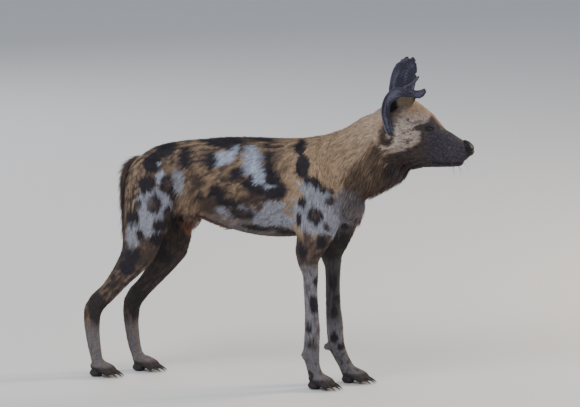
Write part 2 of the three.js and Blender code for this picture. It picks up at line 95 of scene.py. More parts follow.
back = Vector((
    math.sin(CAMERA_AZIMUTH) * math.cos(CAMERA_HEIGHT),
    -math.cos(CAMERA_AZIMUTH) * math.cos(CAMERA_HEIGHT),
    math.sin(CAMERA_HEIGHT),
))
camera_data = bpy.data.cameras.new("camera")
camera_data.sensor_width = SENSOR_WIDTH
camera_data.lens = SENSOR_WIDTH * CAMERA_DISTANCE / (PIXEL_AT_DOG * FRAME_WIDTH)
camera_data.clip_end = 200
camera = place_new("camera", camera_data)
camera.location = AIM + back * CAMERA_DISTANCE
camera.rotation_euler = back.to_track_quat("Z", "Y").to_euler()
bpy.context.scene.camera = camera

corners = [(a * FLOOR_HALF, b * FLOOR_HALF, 0) for a, b in ((-1, -1), (1, -1), (1, 1), (-1, 1))]
floor_mesh = bpy.data.meshes.new("floor")
floor_mesh.from_pydata(corners, [], [(0, 1, 2, 3)])
floor = place_new("floor", floor_mesh)
floor_paint, _, _, floor_shader = new_material("floor_paint", 0.9)
floor_shader.inputs["Base Color"].default_value = FLOOR_COLOUR
floor_mesh.materials.append(floor_paint)

LAMPS = {
    "sky_key": ((-1.6, -4.0, 4.2), 3.0, 215, (0.97, 0.98, 1.0)),
    "low_sun": ((3.4, 2.6, 2.4), 1.2, 190, (1.0, 0.80, 0.58)),
    "side_fill": ((3.8, -3.4, 1.6), 3.0, 45, (0.82, 0.88, 1.0)),
    "back_fill": ((-3.5, 4.0, 3.0), 3.0, 90, (0.9, 0.93, 1.0)),
}
for name, (place, width, power, tint) in LAMPS.items():
    lamp_data = bpy.data.lights.new(name, "AREA")
    lamp_data.size = width
    lamp_data.energy = power
    lamp_data.color = tint
    lamp = place_new(name, lamp_data)
    lamp.location = place
    lamp.rotation_euler = (Vector(place) - LAMP_AIM).to_track_quat("Z", "Y").to_euler()
world = bpy.data.worlds.new("studio")
world.use_nodes = True
world.node_tree.nodes["Background"].inputs["Color"].default_value = SKY_COLOUR
world.node_tree.nodes["Background"].inputs["Strength"].default_value = SKY_STRENGTH
bpy.context.scene.world = world

# Skin, one closed hide over trunk, legs, neck, head, tail core and groin.
# The limbs' own solids are fused by a remesh and smoothed into each other, the neck, head and
# tail are lofted finely, a finer copy of each foot keeps its toes, and all lies under the hair.
ORIGIN = np.array([3, -20, 0])
HEAD_AT = np.array([290, 24, 0])
HEAD_YAW = math.radians(12)
COAT_DEPTH = 4.0
# Heights in metres, and how many millimetres the skin lies below the solid there.
LIMB_SINKS = [(0.02, 0.08, 0.16, 0.26), (2.0, -1.0, -1.0, COAT_DEPTH)]
FOOT_SINKS = [(0.035, 0.075), (0.7, 7.0)]
SKULL_SINK = 1.6
# Voxel in metres and rounds of smoothing for each fuse.
LIMB_FUSE = (0.0045, 14)
HIDE_FUSE = (0.0023, 3)
NAPE_SMOOTHING = (0.8, 60)
HIDE_TRIANGLES = 165000
EYE_AT = np.array([112, 38, 699])
EYE_RADIUS = 11
NECK = [
    [110, 0, 570, 90, 94, 64, 64],
    [170, 4, 590, 92, 100, 66, 66],
    [228, 12, 616, 90, 104, 62, 62],
    [280, 23, 650, 90, 106, 57, 57],
    [318, 31, 676, 78, 88, 50, 50],
]
TAIL = [
    [-380, 0, 585, 12, 12, 14, 14],
    [-408, 2, 560, 13, 13, 14, 14],
    [-420, 5, 515, 11, 11, 12, 12],
    [-421, 8, 450, 9, 9, 10, 10],
    [-420, 10, 385, 7, 7, 8, 8],
    [-420, 10, 325, 5, 5, 6, 6],
    [-421, 10, 296, 3, 3, 3, 3],
]
GROIN = [
    [-232, 0, 470, 30, 30, 17, 17],
    [-236, 0, 442, 26, 27, 14, 14],
    [-239, 0, 418, 12, 13, 8, 8],
]
SKULL = [
    [-34, 732, 620, 680, 36],
    [-15, 746, 612, 682, 54],
    [10, 760, 604, 684, 64],
    [35, 770, 597, 684, 68],
    [58, 774, 592, 682, 70],
    [80, 764, 590, 676, 63],
    [102, 749, 590, 670, 53],
    [122, 733, 590, 662, 45],
    [140, 714, 590, 652, 39],
    [156, 693, 591, 645, 36],
    [175, 681, 591, 638, 34],
    [195, 668, 596, 634, 33],
    [210, 659, 608, 633, 29],
    [221, 651, 620, 633, 21],
    [228, 644, 629, 636, 10],
]


def between(rows, t):
    """The row at t on a smooth curve through the table's rows."""
    rows = np.array(rows, float)
    i = min(int(t), len(rows) - 2)
    f = t - i
    p0, p1, p2, p3 = rows[max(i - 1, 0)], rows[i], rows[i + 1], rows[min(i + 2, len(rows) - 1)]
    v0, v1, rise = (p2 - p0) / 2, (p3 - p1) / 2, p1 - p2
    return (2 * rise + v0 + v1) * f**3 + (-3 * rise - 2 * v0 - v1) * f**2 + v0 * f + p1


def rounded(c, power):
    return np.sign(c) * np.abs(c) ** (2 / power)


def limb_rings(rows, steps, sides, power=2.0):
    """Rings square to a limb's line: x, y, z, fore, aft, left and right reach."""
    angles = np.linspace(0, 2 * math.pi, sides, endpoint=False)
    c, s = rounded(np.cos(angles), power), rounded(np.sin(angles), power)
    rings = []
    last = len(rows) - 1
    for t in np.linspace(0, last, steps):
        row = between(rows, t)
        along = between(rows, min(t + 0.3, last))[:3] - between(rows, max(t - 0.3, 0))[:3]
        along /= np.linalg.norm(along)
        side = np.array([0, 1, 0]) - along * along[1]
        side /= np.linalg.norm(side)
        front = np.cross(along, side)
        reach_front = c * np.where(c > 0, row[3], row[4])
        reach_side = s * np.where(s > 0, row[5], row[6])
        rings.append(row[:3] + np.outer(reach_front, front) + np.outer(reach_side, side))
    return rings


def trunk_rings(rows, steps, sides, powers):
    """Upright rings: x, top, bottom, height of the widest place, half width."""
    angles = np.linspace(0, 2 * math.pi, sides, endpoint=False)
    rings = []
    for t in np.linspace(0, len(rows) - 1, steps):
        x, top, bottom, widest, half = between(rows, t)
        up = np.cos(angles) > 0
        power = np.where(up, *powers)
        height = rounded(np.cos(angles), power) * np.where(up, top - widest, widest - bottom)
        rings.append(np.stack([
            np.full(sides, x), half * rounded(np.sin(angles), power), widest + height,
        ], 1))
    return rings


def mesh_from_rings(name, rings):
    """A closed mesh from equal rings, its two ends fanned to their middles."""
    count = len(rings[0])
    points = np.concatenate(rings + [rings[0].mean(0)[None], rings[-1].mean(0)[None]])
    faces = []
    for r in range(len(rings) - 1):
        for i in range(count):
            j = (i + 1) % count
            faces.append((r * count + i, r * count + j, (r + 1) * count + j, (r + 1) * count + i))
    for ring, middle in ((0, len(points) - 2), (len(rings) - 1, len(points) - 1)):
        faces += [(ring * count + i, ring * count + (i + 1) % count, middle) for i in range(count)]
    mesh = bpy.data.meshes.new(name)
    mesh.from_pydata(((points + ORIGIN) * MM).tolist(), [], faces)
    fix_normals(mesh)
    return place_new(name, mesh)


def fix_normals(mesh):
    work = bmesh.new()
    work.from_mesh(mesh)
    bmesh.ops.remove_doubles(work, verts=work.verts, dist=1e-6)
    bmesh.ops.recalc_face_normals(work, faces=work.faces)
    work.to_mesh(mesh)
    work.free()


def points_of(mesh):
    points = np.zeros(len(mesh.vertices) * 3)
    mesh.vertices.foreach_get("co", points)
    return points.reshape(-1, 3)


def normals_of(mesh):
    normals = np.zeros(len(mesh.vertices) * 3)
    mesh.vertex_normals.foreach_get("vector", normals)
    return normals.reshape(-1, 3)


def put_points(mesh, points):
    mesh.vertices.foreach_set("co", points.ravel())
    mesh.update()


def push_out(thing, amounts):
    """Moves each point along its normal by its own amount in millimetres."""
    put_points(thing.data, points_of(thing.data) + normals_of(thing.data) * amounts[:, None] * MM)


def shade_smooth(thing):
    for polygon in thing.data.polygons:
        polygon.use_smooth = True


def bake_down(thing):
    """The object's evaluated shape becomes its plain mesh, and its modifiers go."""
    graph = bpy.context.evaluated_depsgraph_get()
    mesh = bpy.data.meshes.new_from_object(thing.evaluated_get(graph))
    thing.modifiers.clear()
    old = thing.data
    thing.data = mesh
    bpy.data.meshes.remove(old)
    return thing


def joined(name, things):
    """One object from several, which go."""
    work = bmesh.new()
    for thing in things:
        work.from_mesh(thing.data)
        bpy.data.objects.remove(thing)
    mesh = bpy.data.meshes.new(name)
    work.to_mesh(mesh)
    work.free()
    return place_new(name, mesh)


def fuse(name, things, voxel, rounds):
    """One closed mesh round several, with their creases smoothed away."""
    whole = joined(name, things)
    remesh = whole.modifiers.new("remesh", "REMESH")
    remesh.mode = "VOXEL"
    remesh.voxel_size = voxel
    smooth = whole.modifiers.new("smooth", "SMOOTH")
    smooth.factor = 0.5
    smooth.iterations = rounds
    return bake_down(whole)


HEAD_TURN = np.array([
    [math.cos(HEAD_YAW), -math.sin(HEAD_YAW), 0],
    [math.sin(HEAD_YAW), math.cos(HEAD_YAW), 0],
    [0, 0, 1],
])


def in_head(points):
    """Points of the head's own frame, x forward from the back of the skull, in the dog's frame."""
    return points @ HEAD_TURN.T + HEAD_AT


def to_head(points):
    """Metres in the dog's frame to millimetres in the head's own frame."""
    return (points / MM - ORIGIN - HEAD_AT) @ HEAD_TURN


LEG_NODES = [
    piece + "_" + flank
    for piece in ("upper_arm", "forearm", "forefoot", "thigh", "shank", "hindfoot")
    for flank in ("right", "left")
]
flesh, feet = [], []
for node in ["torso"] + LEG_NODES:
    copy = place_new("flesh_" + node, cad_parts[node].data.copy())
    fix_normals(copy.data)
    flesh.append(copy)
    if "foot" in node:
        toes = place_new("toes_" + node, copy.data.copy())
        push_out(toes, -np.interp(points_of(toes.data)[:, 2], *FOOT_SINKS))
        feet.append(toes)
flesh.append(mesh_from_rings("flesh_neck", limb_rings(NECK, 26, 64, 2.1)))
body = fuse("hide", flesh, *LIMB_FUSE)
push_out(body, -np.interp(points_of(body.data)[:, 2], *LIMB_SINKS))

# Swellings and hollows of the head: place, how far they reach, and how far they push out.
HEAD_FORMS = [
    ((104, 26, 719), (20, 15, 9), 5.5),
    ((72, 58, 672), (34, 30, 16), 5.0),
    ((45, 45, 640), (30, 30, 26), 3.0),
    ((110, 42, 699), (24, 15, 19), 6.0),
    ((118, 44, 699), (11, 12, 6), -2.5),
    ((132, 20, 690), (14, 10, 14), -3.0),
    ((84, 46, 722), (18, 18, 16), -3.0),
    ((66, 0, 776), (34, 7, 14), 2.0),
    ((140, 0, 716), (12, 10, 10), -2.0),
    ((182, 30, 622), (26, 14, 11), 3.5),
    ((206, 24, 612), (12, 12, 10), 2.5),
    ((150, 34, 630), (20, 14, 22), -2.0),
    ((201, 0, 596), (16, 16, 8), 2.5),
    ((222, 0, 646), (9, 14, 8), 2.5),
    ((224, 11, 634), (7, 5, 7), 2.0),
    ((229, 8, 640), (8, 4.2, 4.2), -6.5),
    ((222, 15, 636), (7, 4, 2.4), -4.0),
]
# The mouth's line seen from the side, x and z, with its groove and the lip that swells beside it.
MOUTH = [[226, 619], [218, 613], [204, 607], [180, 603], [150, 602], [124, 606]]
GROOVE_DEPTH, GROOVE_REACH = 5.5, 2.7
LIP_HEIGHT, LIP_AWAY, LIP_REACH = 1.8, 7.0, 3.4
head_rings = trunk_rings(SKULL, 120, 128, (2.1, 2.3))
head = mesh_from_rings("head", [in_head(ring) for ring in head_rings])
spots = to_head(points_of(head.data))
spots[:, 1] = np.abs(spots[:, 1])
push = np.full(len(spots), -SKULL_SINK)
for place, reach, height in HEAD_FORMS:
    push += height * np.exp(-(((spots - place) / reach) ** 2).sum(1))
mouth_path = np.array([between(MOUTH, t) for t in np.linspace(0, len(MOUTH) - 1, 60)])
to_mouth = np.linalg.norm(spots[:, None, ::2] - mouth_path, axis=2).min(1)
push += LIP_HEIGHT * np.exp(-(((to_mouth - LIP_AWAY) / LIP_REACH) ** 2))
push -= GROOVE_DEPTH * np.exp(-((to_mouth / GROOVE_REACH) ** 2))
push_out(head, push)

tail_core = mesh_from_rings("tail_core", limb_rings(TAIL, 40, 20))
groin_core = mesh_from_rings("groin_core", limb_rings(GROIN, 14, 20))
hide = fuse("hide", [body, head, tail_core, groin_core] + feet, *HIDE_FUSE)
body_points = points_of(hide.data)
head_local = to_head(body_points)
nape = np.abs(head_local[:, 0] + 18) < 42
nape |= (np.abs(head_local[:, 0] - 20) < 50) & (head_local[:, 2] < 622)
nape &= body_points[:, 2] > 0.5
blend = hide.vertex_groups.new(name="nape")
blend.add(np.nonzero(nape)[0].tolist(), 1.0, "REPLACE")
smooth_nape = hide.modifiers.new("smooth_nape", "SMOOTH")
smooth_nape.vertex_group = "nape"
smooth_nape.factor, smooth_nape.iterations = NAPE_SMOOTHING
bake_down(hide)
body_points = points_of(hide.data)
head_local = to_head(body_points)
near_face = np.clip((head_local[:, 0] + 10) / 60, 0, 1) * (body_points[:, 2] > 0.5)
near_foot = np.clip((0.075 - body_points[:, 2]) / 0.03, 0, 1)
keep_fine = hide.vertex_groups.new(name="keep_fine")
for weight in (0.35, 1.0):
    chosen = np.maximum(near_face, near_foot * 0.6) >= weight
    keep_fine.add(np.nonzero(chosen)[0].tolist(), weight, "REPLACE")
thin = hide.modifiers.new("thin", "DECIMATE")
thin.ratio = min(1.0, HIDE_TRIANGLES / (2 * len(hide.data.polygons)))
thin.vertex_group = "keep_fine"
thin.invert_vertex_group = True
bake_down(hide)
shade_smooth(hide)

# Lie and markings of the coat, kept on the hide for its own finish and for the hair.
# Each bone line gives the way the hair runs beside it. A blotch is x forward, z up, half length,
# half height and tilt. The left flank can't be seen, so its blotches are the right flank's, moved.
FLOWS = [
    ((515, 72, 640), (400, 45, 700), 7, "head"),
    ((400, 45, 700), (310, 28, 690), 9, "head"),
    ((330, 30, 620), (300, 26, 700), 16, "head"),
    ((310, 28, 650), (190, 5, 600), 20, "neck"),
    ((290, 24, 560), (225, 5, 500), 30, "neck"),
    ((190, 0, 620), (-120, 0, 590), 15, "trunk"),
    ((-120, 0, 590), (-390, 0, 570), 15, "trunk"),
    ((200, 0, 470), (-250, 0, 440), 15, "trunk"),
    ((120, -60, 600), (105, -64, 350), 13, "fore"),
    ((105, -60, 350), (112, -55, 90), 8, "fore"),
    ((112, -55, 90), (175, -52, 8), 5, "fore"),
    ((140, 60, 600), (130, 64, 350), 13, "fore"),
    ((130, 60, 350), (148, 54, 90), 8, "fore"),
    ((148, 54, 90), (235, 52, 8), 5, "fore"),
    ((-345, -55, 580), (-362, -62, 345), 13, "hind"),
    ((-362, -62, 345), (-490, -55, 190), 9, "hind"),
    ((-490, -55, 190), (-490, -52, 40), 7, "hind"),
    ((-490, -52, 40), (-425, -52, 8), 5, "hind"),
    ((-325, 55, 580), (-312, 62, 345), 13, "hind"),
    ((-312, 62, 345), (-416, 55, 190), 9, "hind"),
    ((-416, 55, 190), (-405, 52, 40), 7, "hind"),
    ((-405, 52, 40), (-340, 52, 8), 5, "hind"),
    ((-400, 2, 580), (-421, 8, 450), 26, "tail"),
    ((-421, 8, 450), (-421, 10, 296), 30, "tail"),
    ((-233, 0, 462), (-239, 0, 424), 26, "groin"),
]
REGIONS = ["head", "neck", "trunk", "fore", "hind", "tail", "groin"]
points = points_of(hide.data) / MM - ORIGIN
normals = normals_of(hide.data)
weights = np.zeros((len(FLOWS), len(points)))
for k, (start, end, _, _) in enumerate(FLOWS):
    start, end = np.array(start, float), np.array(end, float)
    span = end - start
    t = np.clip(((points - start) @ span) / (span @ span), 0, 1)
    weights[k] = 1 / (np.linalg.norm(points - start - t[:, None] * span, axis=1) + 6) ** 4
weights /= weights.sum(0)
ways = np.array([(np.array(b) - a) / np.linalg.norm(np.array(b) - a) for a, b, _, _ in FLOWS])
hair = weights.T @ np.array([flow[2] for flow in FLOWS], float)
region_weight = np.array([
    weights[[k for k, flow in enumerate(FLOWS) if flow[3] == name]].sum(0) for name in REGIONS
])
region = region_weight.argmax(0)
SAG_OF_FLANK_HAIR = 0.85
lie = weights.T @ ways
lie[:, 2] -= SAG_OF_FLANK_HAIR * region_weight[1:3].sum(0)

COLOURS = {
    "tan": (0.36, 0.245, 0.15),
    "black": (0.021, 0.017, 0.022),
    "brown": (0.072, 0.047, 0.037),
    "white": (0.38, 0.42, 0.51),
    "pale": (0.29, 0.29, 0.33),
    "grey": (0.20, 0.19, 0.205),
    "red": (0.135, 0.056, 0.034),
    "dark": (0.032, 0.025, 0.024),
    "cream": (0.49, 0.395, 0.33),
    "bright": (0.62, 0.55, 0.47),
    # Painted light: an orange rim light for the top of the head, as from a low warm sun behind.
    "crown_rim_light": (0.46, 0.285, 0.165),
    # The muzzle's own near-black, tinted blue for a painted sheen.
    "muzzle": (0.036, 0.031, 0.046),
    "jaw": (0.040, 0.028, 0.026),
    "nose": (0.006, 0.005, 0.007),
    "straw": (0.47, 0.345, 0.25),
}
RIGHT_BLOTCHES = [
    ("black", -166, 653, 62, 12, 0),
    ("black", -57, 662, 58, 10, -3),
    ("black", -297, 627, 29, 24, 30),
    ("black", -327, 585, 21, 24, 0),
    ("black", -238, 605, 19, 24, 0),
    ("black", -124, 644, 50, 12, 0),
    ("black", -162, 600, 16, 24, -10),
    ("black", -11, 631, 12, 24, 15),
    ("black", 10, 571, 19, 37, 20),
    ("black", 26, 531, 25, 22, 0),
    ("black", -87, 571, 29, 15, 25),
    ("black", -49, 540, 25, 13, -20),
    ("black", 105, 672, 25, 8, 10),
    ("black", 78, 643, 15, 17, 10),
    ("black", 89, 599, 19, 31, -5),
    ("black", 122, 552, 25, 20, -30),
    ("black", 151, 529, 25, 16, 0),
    ("black", 0, 530, 19, 22, 25),
    ("black", -142, 519, 23, 18, 0),
    ("black", -116, 492, 37, 11, 0),
    ("brown", -201, 545, 25, 16, -20),
    ("brown", -167, 481, 25, 24, -30),
    ("brown", -41, 504, 37, 12, 0),
    ("white", -112, 615, 40, 13, 35),
    ("white", -135, 614, 12, 10, 0),
    ("white", -57, 623, 17, 18, -20),
    ("white", -45, 593, 22, 22, -35),
    ("white", -24, 565, 17, 20, -20),
    ("white", -3, 542, 10, 5, 0),
    ("brown", -86, 630, 6, 20, -20),
    ("white", -310, 585, 7, 4, 0),
    ("pale", -125, 467, 25, 11, -20),
    ("pale", 5, 453, 62, 24, -5),
    ("pale", 18, 490, 29, 15, 0),
    ("pale", -58, 482, 25, 5, 0),
    ("ring", -74, 465, 35, 14, -3),
    ("black", -41, 426, 37, 9, -5),
    ("brown", 18, 427, 29, 7, -5),
    ("black", 39, 416, 25, 6, -5),
    ("white", -302, 549, 11, 17, 0),
    ("pale", -255, 543, 17, 31, 0),
    ("pale", -319, 474, 44, 47, 0),
    ("pale", -354, 423, 31, 24, 0),
    ("pale", -375, 390, 19, 29, 0),
    ("pale", -328, 416, 27, 24, 0),
    ("ring", -315, 479, 19, 24, 0),
    ("ring", -285, 531, 17, 24, 0),
    ("black", -375, 439, 20, 24, 0),
    ("black", -354, 397, 10, 14, 0),
    ("ring", -270, 505, 7, 16, 0),
    ("ring", -281, 447, 12, 25, 0),
    ("black", -303, 422, 16, 15, 0),
    ("black", -336, 531, 20, 24, 0),
    ("black", -358, 479, 9, 13, 0),
    ("pale", 135, 475, 69, 55, 0),
    ("pale", 105, 539, 20, 14, 0),
    ("white", 80, 554, 5, 8, 0),
    ("pale", 168, 432, 29, 24, 0),
    ("black", 91, 502, 12, 16, 0),
    ("ring", 128, 469, 21, 21, 0),
    ("black", 83, 456, 8, 20, 0),
    ("ring", 158, 442, 9, 11, 0),
    ("brown", 151, 413, 17, 9, 0),
    ("brown", 106, 415, 12, 9, 0),
    ("ring", 168, 509, 16, 12, 0),
    ("black", -299, 381, 29, 18, -20),
    ("black", -375, 340, 25, 16, 0),
    ("brown", -329, 334, 25, 24, 0),
    ("black", -393, 306, 21, 20, 0),
    ("black", 93, 375, 12, 20, 0),
    ("black", 143, 398, 12, 16, 0),
    ("black", 119, 228, 10, 24, 5),
    ("black", 106, 166, 8, 16, 0),
    ("ring", 114, 126, 10, 13, 0),
    ("ring", 108, 37, 11, 13, 0),
    ("black", 128, 290, 9, 14, 0),
    ("dark", -478, 186, 26, 40, 10),
]
LEFT_LEG_BLOTCHES = [
    ("ring", 150, 420, 18, 16, 0),
    ("black", 165, 385, 18, 22, 0),
    ("black", 132, 352, 12, 18, 10),
    ("black", 140, 270, 10, 24, 0),
    ("black", 150, 225, 7, 14, 0),
    ("black", 146, 190, 8, 16, 0),
    ("black", 146, 123, 10, 15, 0),
    ("black", 164, 98, 8, 10, 0),
    ("pale", -320, 430, 32, 26, 0),
    ("black", -340, 440, 18, 20, 0),
    ("ring", -300, 410, 16, 20, 0),
    ("black", -262, 430, 14, 22, 0),
    ("black", -330, 320, 26, 18, -20),
    ("dark", -404, 186, 26, 40, 10),
]
LEFT_SHIFT = (30, 16)
LEFT_STRETCH = 0.3
LEFT_TILT = 28
LEFT_BLOTCHES = list(LEFT_LEG_BLOTCHES)
for k, (colour, cx, cz, rx, rz, tilt) in enumerate(RIGHT_BLOTCHES):
    if cz > 440:
        LEFT_BLOTCHES.append((
            colour,
            cx + LEFT_SHIFT[0] * math.sin(2.1 * k),
            cz + LEFT_SHIFT[1] * math.cos(1.7 * k),
            rx * (1 + LEFT_STRETCH * math.sin(3.1 * k)),
            rz * (1 + LEFT_STRETCH * math.cos(2.3 * k)),
            tilt + LEFT_TILT * math.sin(1.3 * k),
        ))


def mottle(points, size, turns=6, seed=4):
    """A smooth, cloudy value from -1 to 1, the same on every run."""
    draw = np.random.default_rng(seed)
    total = np.zeros(len(points))
    for octave in range(3):
        for _ in range(turns):
            way = draw.normal(size=3)
            way /= np.linalg.norm(way)
            phase = draw.uniform(0, 6.28)
            bend = draw.normal(size=3) * 0.6
            swing = np.sin(points @ bend / size * 2**octave + phase * 2)
            total += np.sin((points @ way) / size * 6.28 * 2**octave + phase + swing) / 2**octave
    return total / (turns * 0.9)


x, y, z = points.T
ragged = mottle(points, 22)
coarse = mottle(points, 70, seed=9)
fine = mottle(points, 9, seed=2)
STREAK = np.array([[0.7 / 46, 0.7 / 8], [0, 0], [0.7 / 46, -0.7 / 8]]) * 22
streaks = mottle(np.column_stack([points @ STREAK, y * 0.5]), 22, seed=6)
HAIRLINE = np.array([[0.7 / 34, 0.7 / 4], [0, 0], [0.7 / 34, -0.7 / 4]]) * 22
hairline = mottle(np.column_stack([points @ HAIRLINE, y * 0.5]), 22, seed=12)
speck = mottle(points, 5, seed=31)


def stain(colour, amount):
    """Lays a colour over the paint, as thickly as the amount says from 0 to 1."""
    amount = np.clip(amount, 0, 1)[:, None]
    paint[:] = paint * (1 - amount) + np.array(COLOURS[colour]) * amount


def step_up(value, low, high):
    t = np.clip((value - low) / (high - low), 0, 1)
    return t * t * (3 - 2 * t)


def blotch(across, up, centre, reach, tilt, softness):
    """A mask of one ragged oval blotch, 1 inside and 0 outside, seen square on."""
    c, s = math.cos(math.radians(tilt)), math.sin(math.radians(tilt))
    u = ((across - centre[0]) * c + (up - centre[1]) * s) / reach[0]
    v = (-(across - centre[0]) * s + (up - centre[1]) * c) / reach[1]
    away = np.sqrt(u * u + v * v) + 0.12 * ragged + 0.05 * fine + 0.15 * streaks + 0.06 * hairline
    return away, step_up(-away, -1.08 - softness / 2, -1.08 + softness / 2)


# Trunk: tan under streaks of black and brown, with a pale belly and paler withers.
paint = np.tile(np.array(COLOURS["tan"]), (len(points), 1))
barrel = step_up(-x, -70, -20)
stain("brown", step_up(streaks + 0.5 * ragged + 0.4 * hairline, -0.45, 0.3) * barrel * 0.85)
stain("black", step_up(streaks + 0.6 * coarse + 0.3 * hairline, 0.2, 0.6) * barrel * 0.85)
belly = step_up(-z, -470, -430) * ((x > -250) & (x < 60))
stain("grey", belly * (0.6 + 0.3 * ragged))

# Legs: brown and black mottling above, grey shins with dark spots, dark toes, and inner sides darkened,
# partly their own dark brown and partly painted shade between the legs.
fore = x > 20
stain("brown", step_up(-z, -430, -395) * fore * (0.85 + 0.2 * ragged))
stain("black", step_up(-z, -425, -380) * fore * step_up(streaks, -0.1, 0.3) * 0.8)
shin = step_up(-z, -345, -318) * fore
stain("grey", shin * 0.95)
stain("brown", shin * step_up(ragged, 0.2, 0.5) * 0.8)
stain("dark", step_up(-z, -150, -90) * fore * 0.35)
shank = step_up(-z, -420, -370) * ~fore
stain("brown", shank * (0.72 + 0.2 * streaks))
stain("black", shank * step_up(ragged + 0.5 * hairline, -0.15, 0.4) * 0.7)
stain("grey", step_up(-z, -165, -112) * ~fore * (0.5 + 0.25 * ragged))

# Blotches: each flank's own, and a ring is a dark blotch with a brown middle.
flank = {"right": step_up(-y, -8, 8), "left": step_up(y, -8, 8)}
for side, blotches in (("right", RIGHT_BLOTCHES), ("left", LEFT_BLOTCHES)):
    on_side = flank[side] * (region_weight[:2].sum(0) < 0.75)
    for colour, cx, cz, rx, rz, tilt in blotches:
        away, mask = blotch(x, z, (cx, cz), (rx, rz), tilt, min(0.35, 5 / min(rx, rz)))
        stain("black" if colour == "ring" else colour, mask * on_side)
        if colour == "ring":
            stain("brown", step_up(-away, -0.68, -0.42) * on_side * 0.85)
rear_line = step_up(-x, 398, 406) * (z > 330) * (np.abs(y) > 30)
stain("black", rear_line * 0.9)
# Leg sides that face each other are darkened: partly their own dark brown, partly painted shade between
# the legs.
turned_in = step_up(-normals[:, 1] * np.sign(y), -0.05, 0.45) * step_up(np.abs(y), 18, 26)
inner_dark_and_shade = turned_in * step_up(-z, -440, -425) * step_up(z, 120, 190)
stain("dark", inner_dark_and_shade * (0.72 + 0.25 * hairline))
stain("dark", step_up(-z, -34, -24) * 0.9)

# Neck and chest: tan above, a grizzled dark ruff below a slanting line, a pale chest behind it.
neck_area = (region_weight[0] + region_weight[1]) * (z > 440)
ruff = step_up((x - 226) * 1.32 - (z - 600) + 12 * ragged, -10, 22) * step_up(x, 192, 216) * (z > 440)
stain("straw", neck_area * (1 - ruff) * step_up(x, 120, 215) * 0.85)
stain("brown", ruff * 0.9)
stain("dark", ruff * step_up(ragged + fine * 0.8, -0.1, 0.6) * 0.6)
stain("tan", ruff * step_up(hairline + 0.4 * fine, -0.3, 0.7) * step_up(z, 525, 640) * 0.7)
stain("red", ruff * step_up(-z, -530, -500) * 0.55)
chest = step_up(-(((x - 208) / 34) ** 2) - ((z - 500) / 50) ** 2, -1.2, -0.6)
stain("grey", chest * (0.65 + 0.35 * streaks))

# Head: a cream cheek with dark flecks and a bright curved line, warm brow, a painted orange rim light
# along the crown, dark muzzle and jaw, the muzzle with a painted bluish sheen.
# Marks lie x forward and z up in the head's own frame, alike on both sides.
MUZZLE_LINE = [
    (560, 5), (628, 8), (637, 24), (644, 57), (650, 68), (663, 86), (687, 86), (700, 92), (712, 104),
    (735, 126), (750, 150), (790, 190),
]
CHEEK_LINE = [[32, 712], [33, 694], [31, 674], [25, 657], [8, 648], [-8, 652]]
HEAD_MARKS = [
    ("dark", 6, 684, 20, 26, 0, 0.75),
    ("cream", 10, 681, 5, 8, 0, 0.7),
    ("tan", 62, 760, 26, 14, -30, 0.6),
    ("cream", 44, 762, 13, 13, 0, 0.9),
    ("black", 17, 760, 14, 16, 0, 0.95),
    ("tan", 0, 742, 5, 18, -15, 0.9),
    ("dark", 60, 667, 4, 8, 0, 0.9),
    ("dark", 61, 648, 6, 4, 0, 0.8),
    ("dark", 61, 723, 3, 4, 0, 0.9),
    ("dark", 73, 697, 3, 3, 0, 0.9),
    ("dark", 52, 690, 3, 3, 0, 0.7),
    ("dark", 44, 652, 3, 4, 0, 0.7),
    ("dark", 84, 716, 16, 4, 12, 0.6),
    ("dark", 100, 703, 22, 9, 5, 0.95),
    ("grey", 98, 715, 5, 3, 0, 0.7),
]
hx, hy, hz = to_head(points_of(hide.data)).T
on_head = step_up(hx, -30, -5) * (z > 560)
cheek_rear = np.interp(hz, [600, 648, 657, 690, 705, 722], [26, 12, 22, 28, 16, -14])
cheek = on_head * step_up(hx - cheek_rear + 4 * fine, -5, 4)
stain("cream", cheek * step_up(hz, 590, 640))
stain("tan", cheek * step_up(hz, 715, 752) * 0.7)
stain("brown", cheek * step_up(speck + 0.4 * hairline, -0.1, 0.7) * 0.5)
stain("dark", on_head * step_up(0.6 * ragged + fine, 0.62, 0.82) * (hz < 745) * 0.75)
for colour, cx, cz, rx, rz, tilt, amount in HEAD_MARKS:
    mask = blotch(hx, hz, (cx, cz), (rx, rz), tilt, 0.5)[1]
    stain(colour, mask * on_head * amount * (np.abs(hy) > 14))
line = np.array([between(CHEEK_LINE, t) for t in np.linspace(0, len(CHEEK_LINE) - 1, 40)])
to_line = np.hypot(hx[:, None] - line[:, 0], hz[:, None] - line[:, 1]).min(1)
stain("bright", on_head * step_up(-to_line, -4.5, -1.5) * (np.abs(hy) > 20) * 0.9)
limit = np.interp(hz, *np.array(MUZZLE_LINE).T)
muzzle = step_up(hx - limit + 6 * ragged + 3 * fine, -7, 9)
stain("jaw", on_head * muzzle * 0.95)
# The front of the muzzle gets its own near-black tinted blue: a painted bluish sheen.
stain("muzzle", on_head * muzzle * step_up(hx, 95, 130) * 0.9)
stain("grey", on_head * muzzle * step_up(speck + 0.5 * fine, 0.1, 0.9) * 0.32)
stain("brown", on_head * muzzle * step_up(-speck + 0.6 * ragged, 0.2, 0.8) * 0.5)
# Painted light: the crown and forehead are coloured orange as if lit from behind by a low warm sun.
skull_rows = np.array(SKULL)
crown = np.interp(hx, skull_rows[:, 0], skull_rows[:, 1])
crown_rim_light = step_up(hz - crown, -17, -9) * step_up(hx, 38, 60) * step_up(-hx, -156, -140)
stain("crown_rim_light", on_head * crown_rim_light * step_up(-np.abs(hy), -24, -4) * 0.75)
nose_pad = step_up(hx + 0.25 * (hz - 636), 207, 212) * step_up(hz, 619, 624)
stain("nose", nose_pad)
in_mouth = np.linalg.norm(np.column_stack([hx, hz])[:, None] - mouth_path[::3], axis=2).min(1)
stain("black", on_head * step_up(-in_mouth, -4.5, -2.0))
paint *= np.clip(1 + 0.12 * fine + 0.34 * hairline * (z > 60), 0.45, 1.7)[:, None]

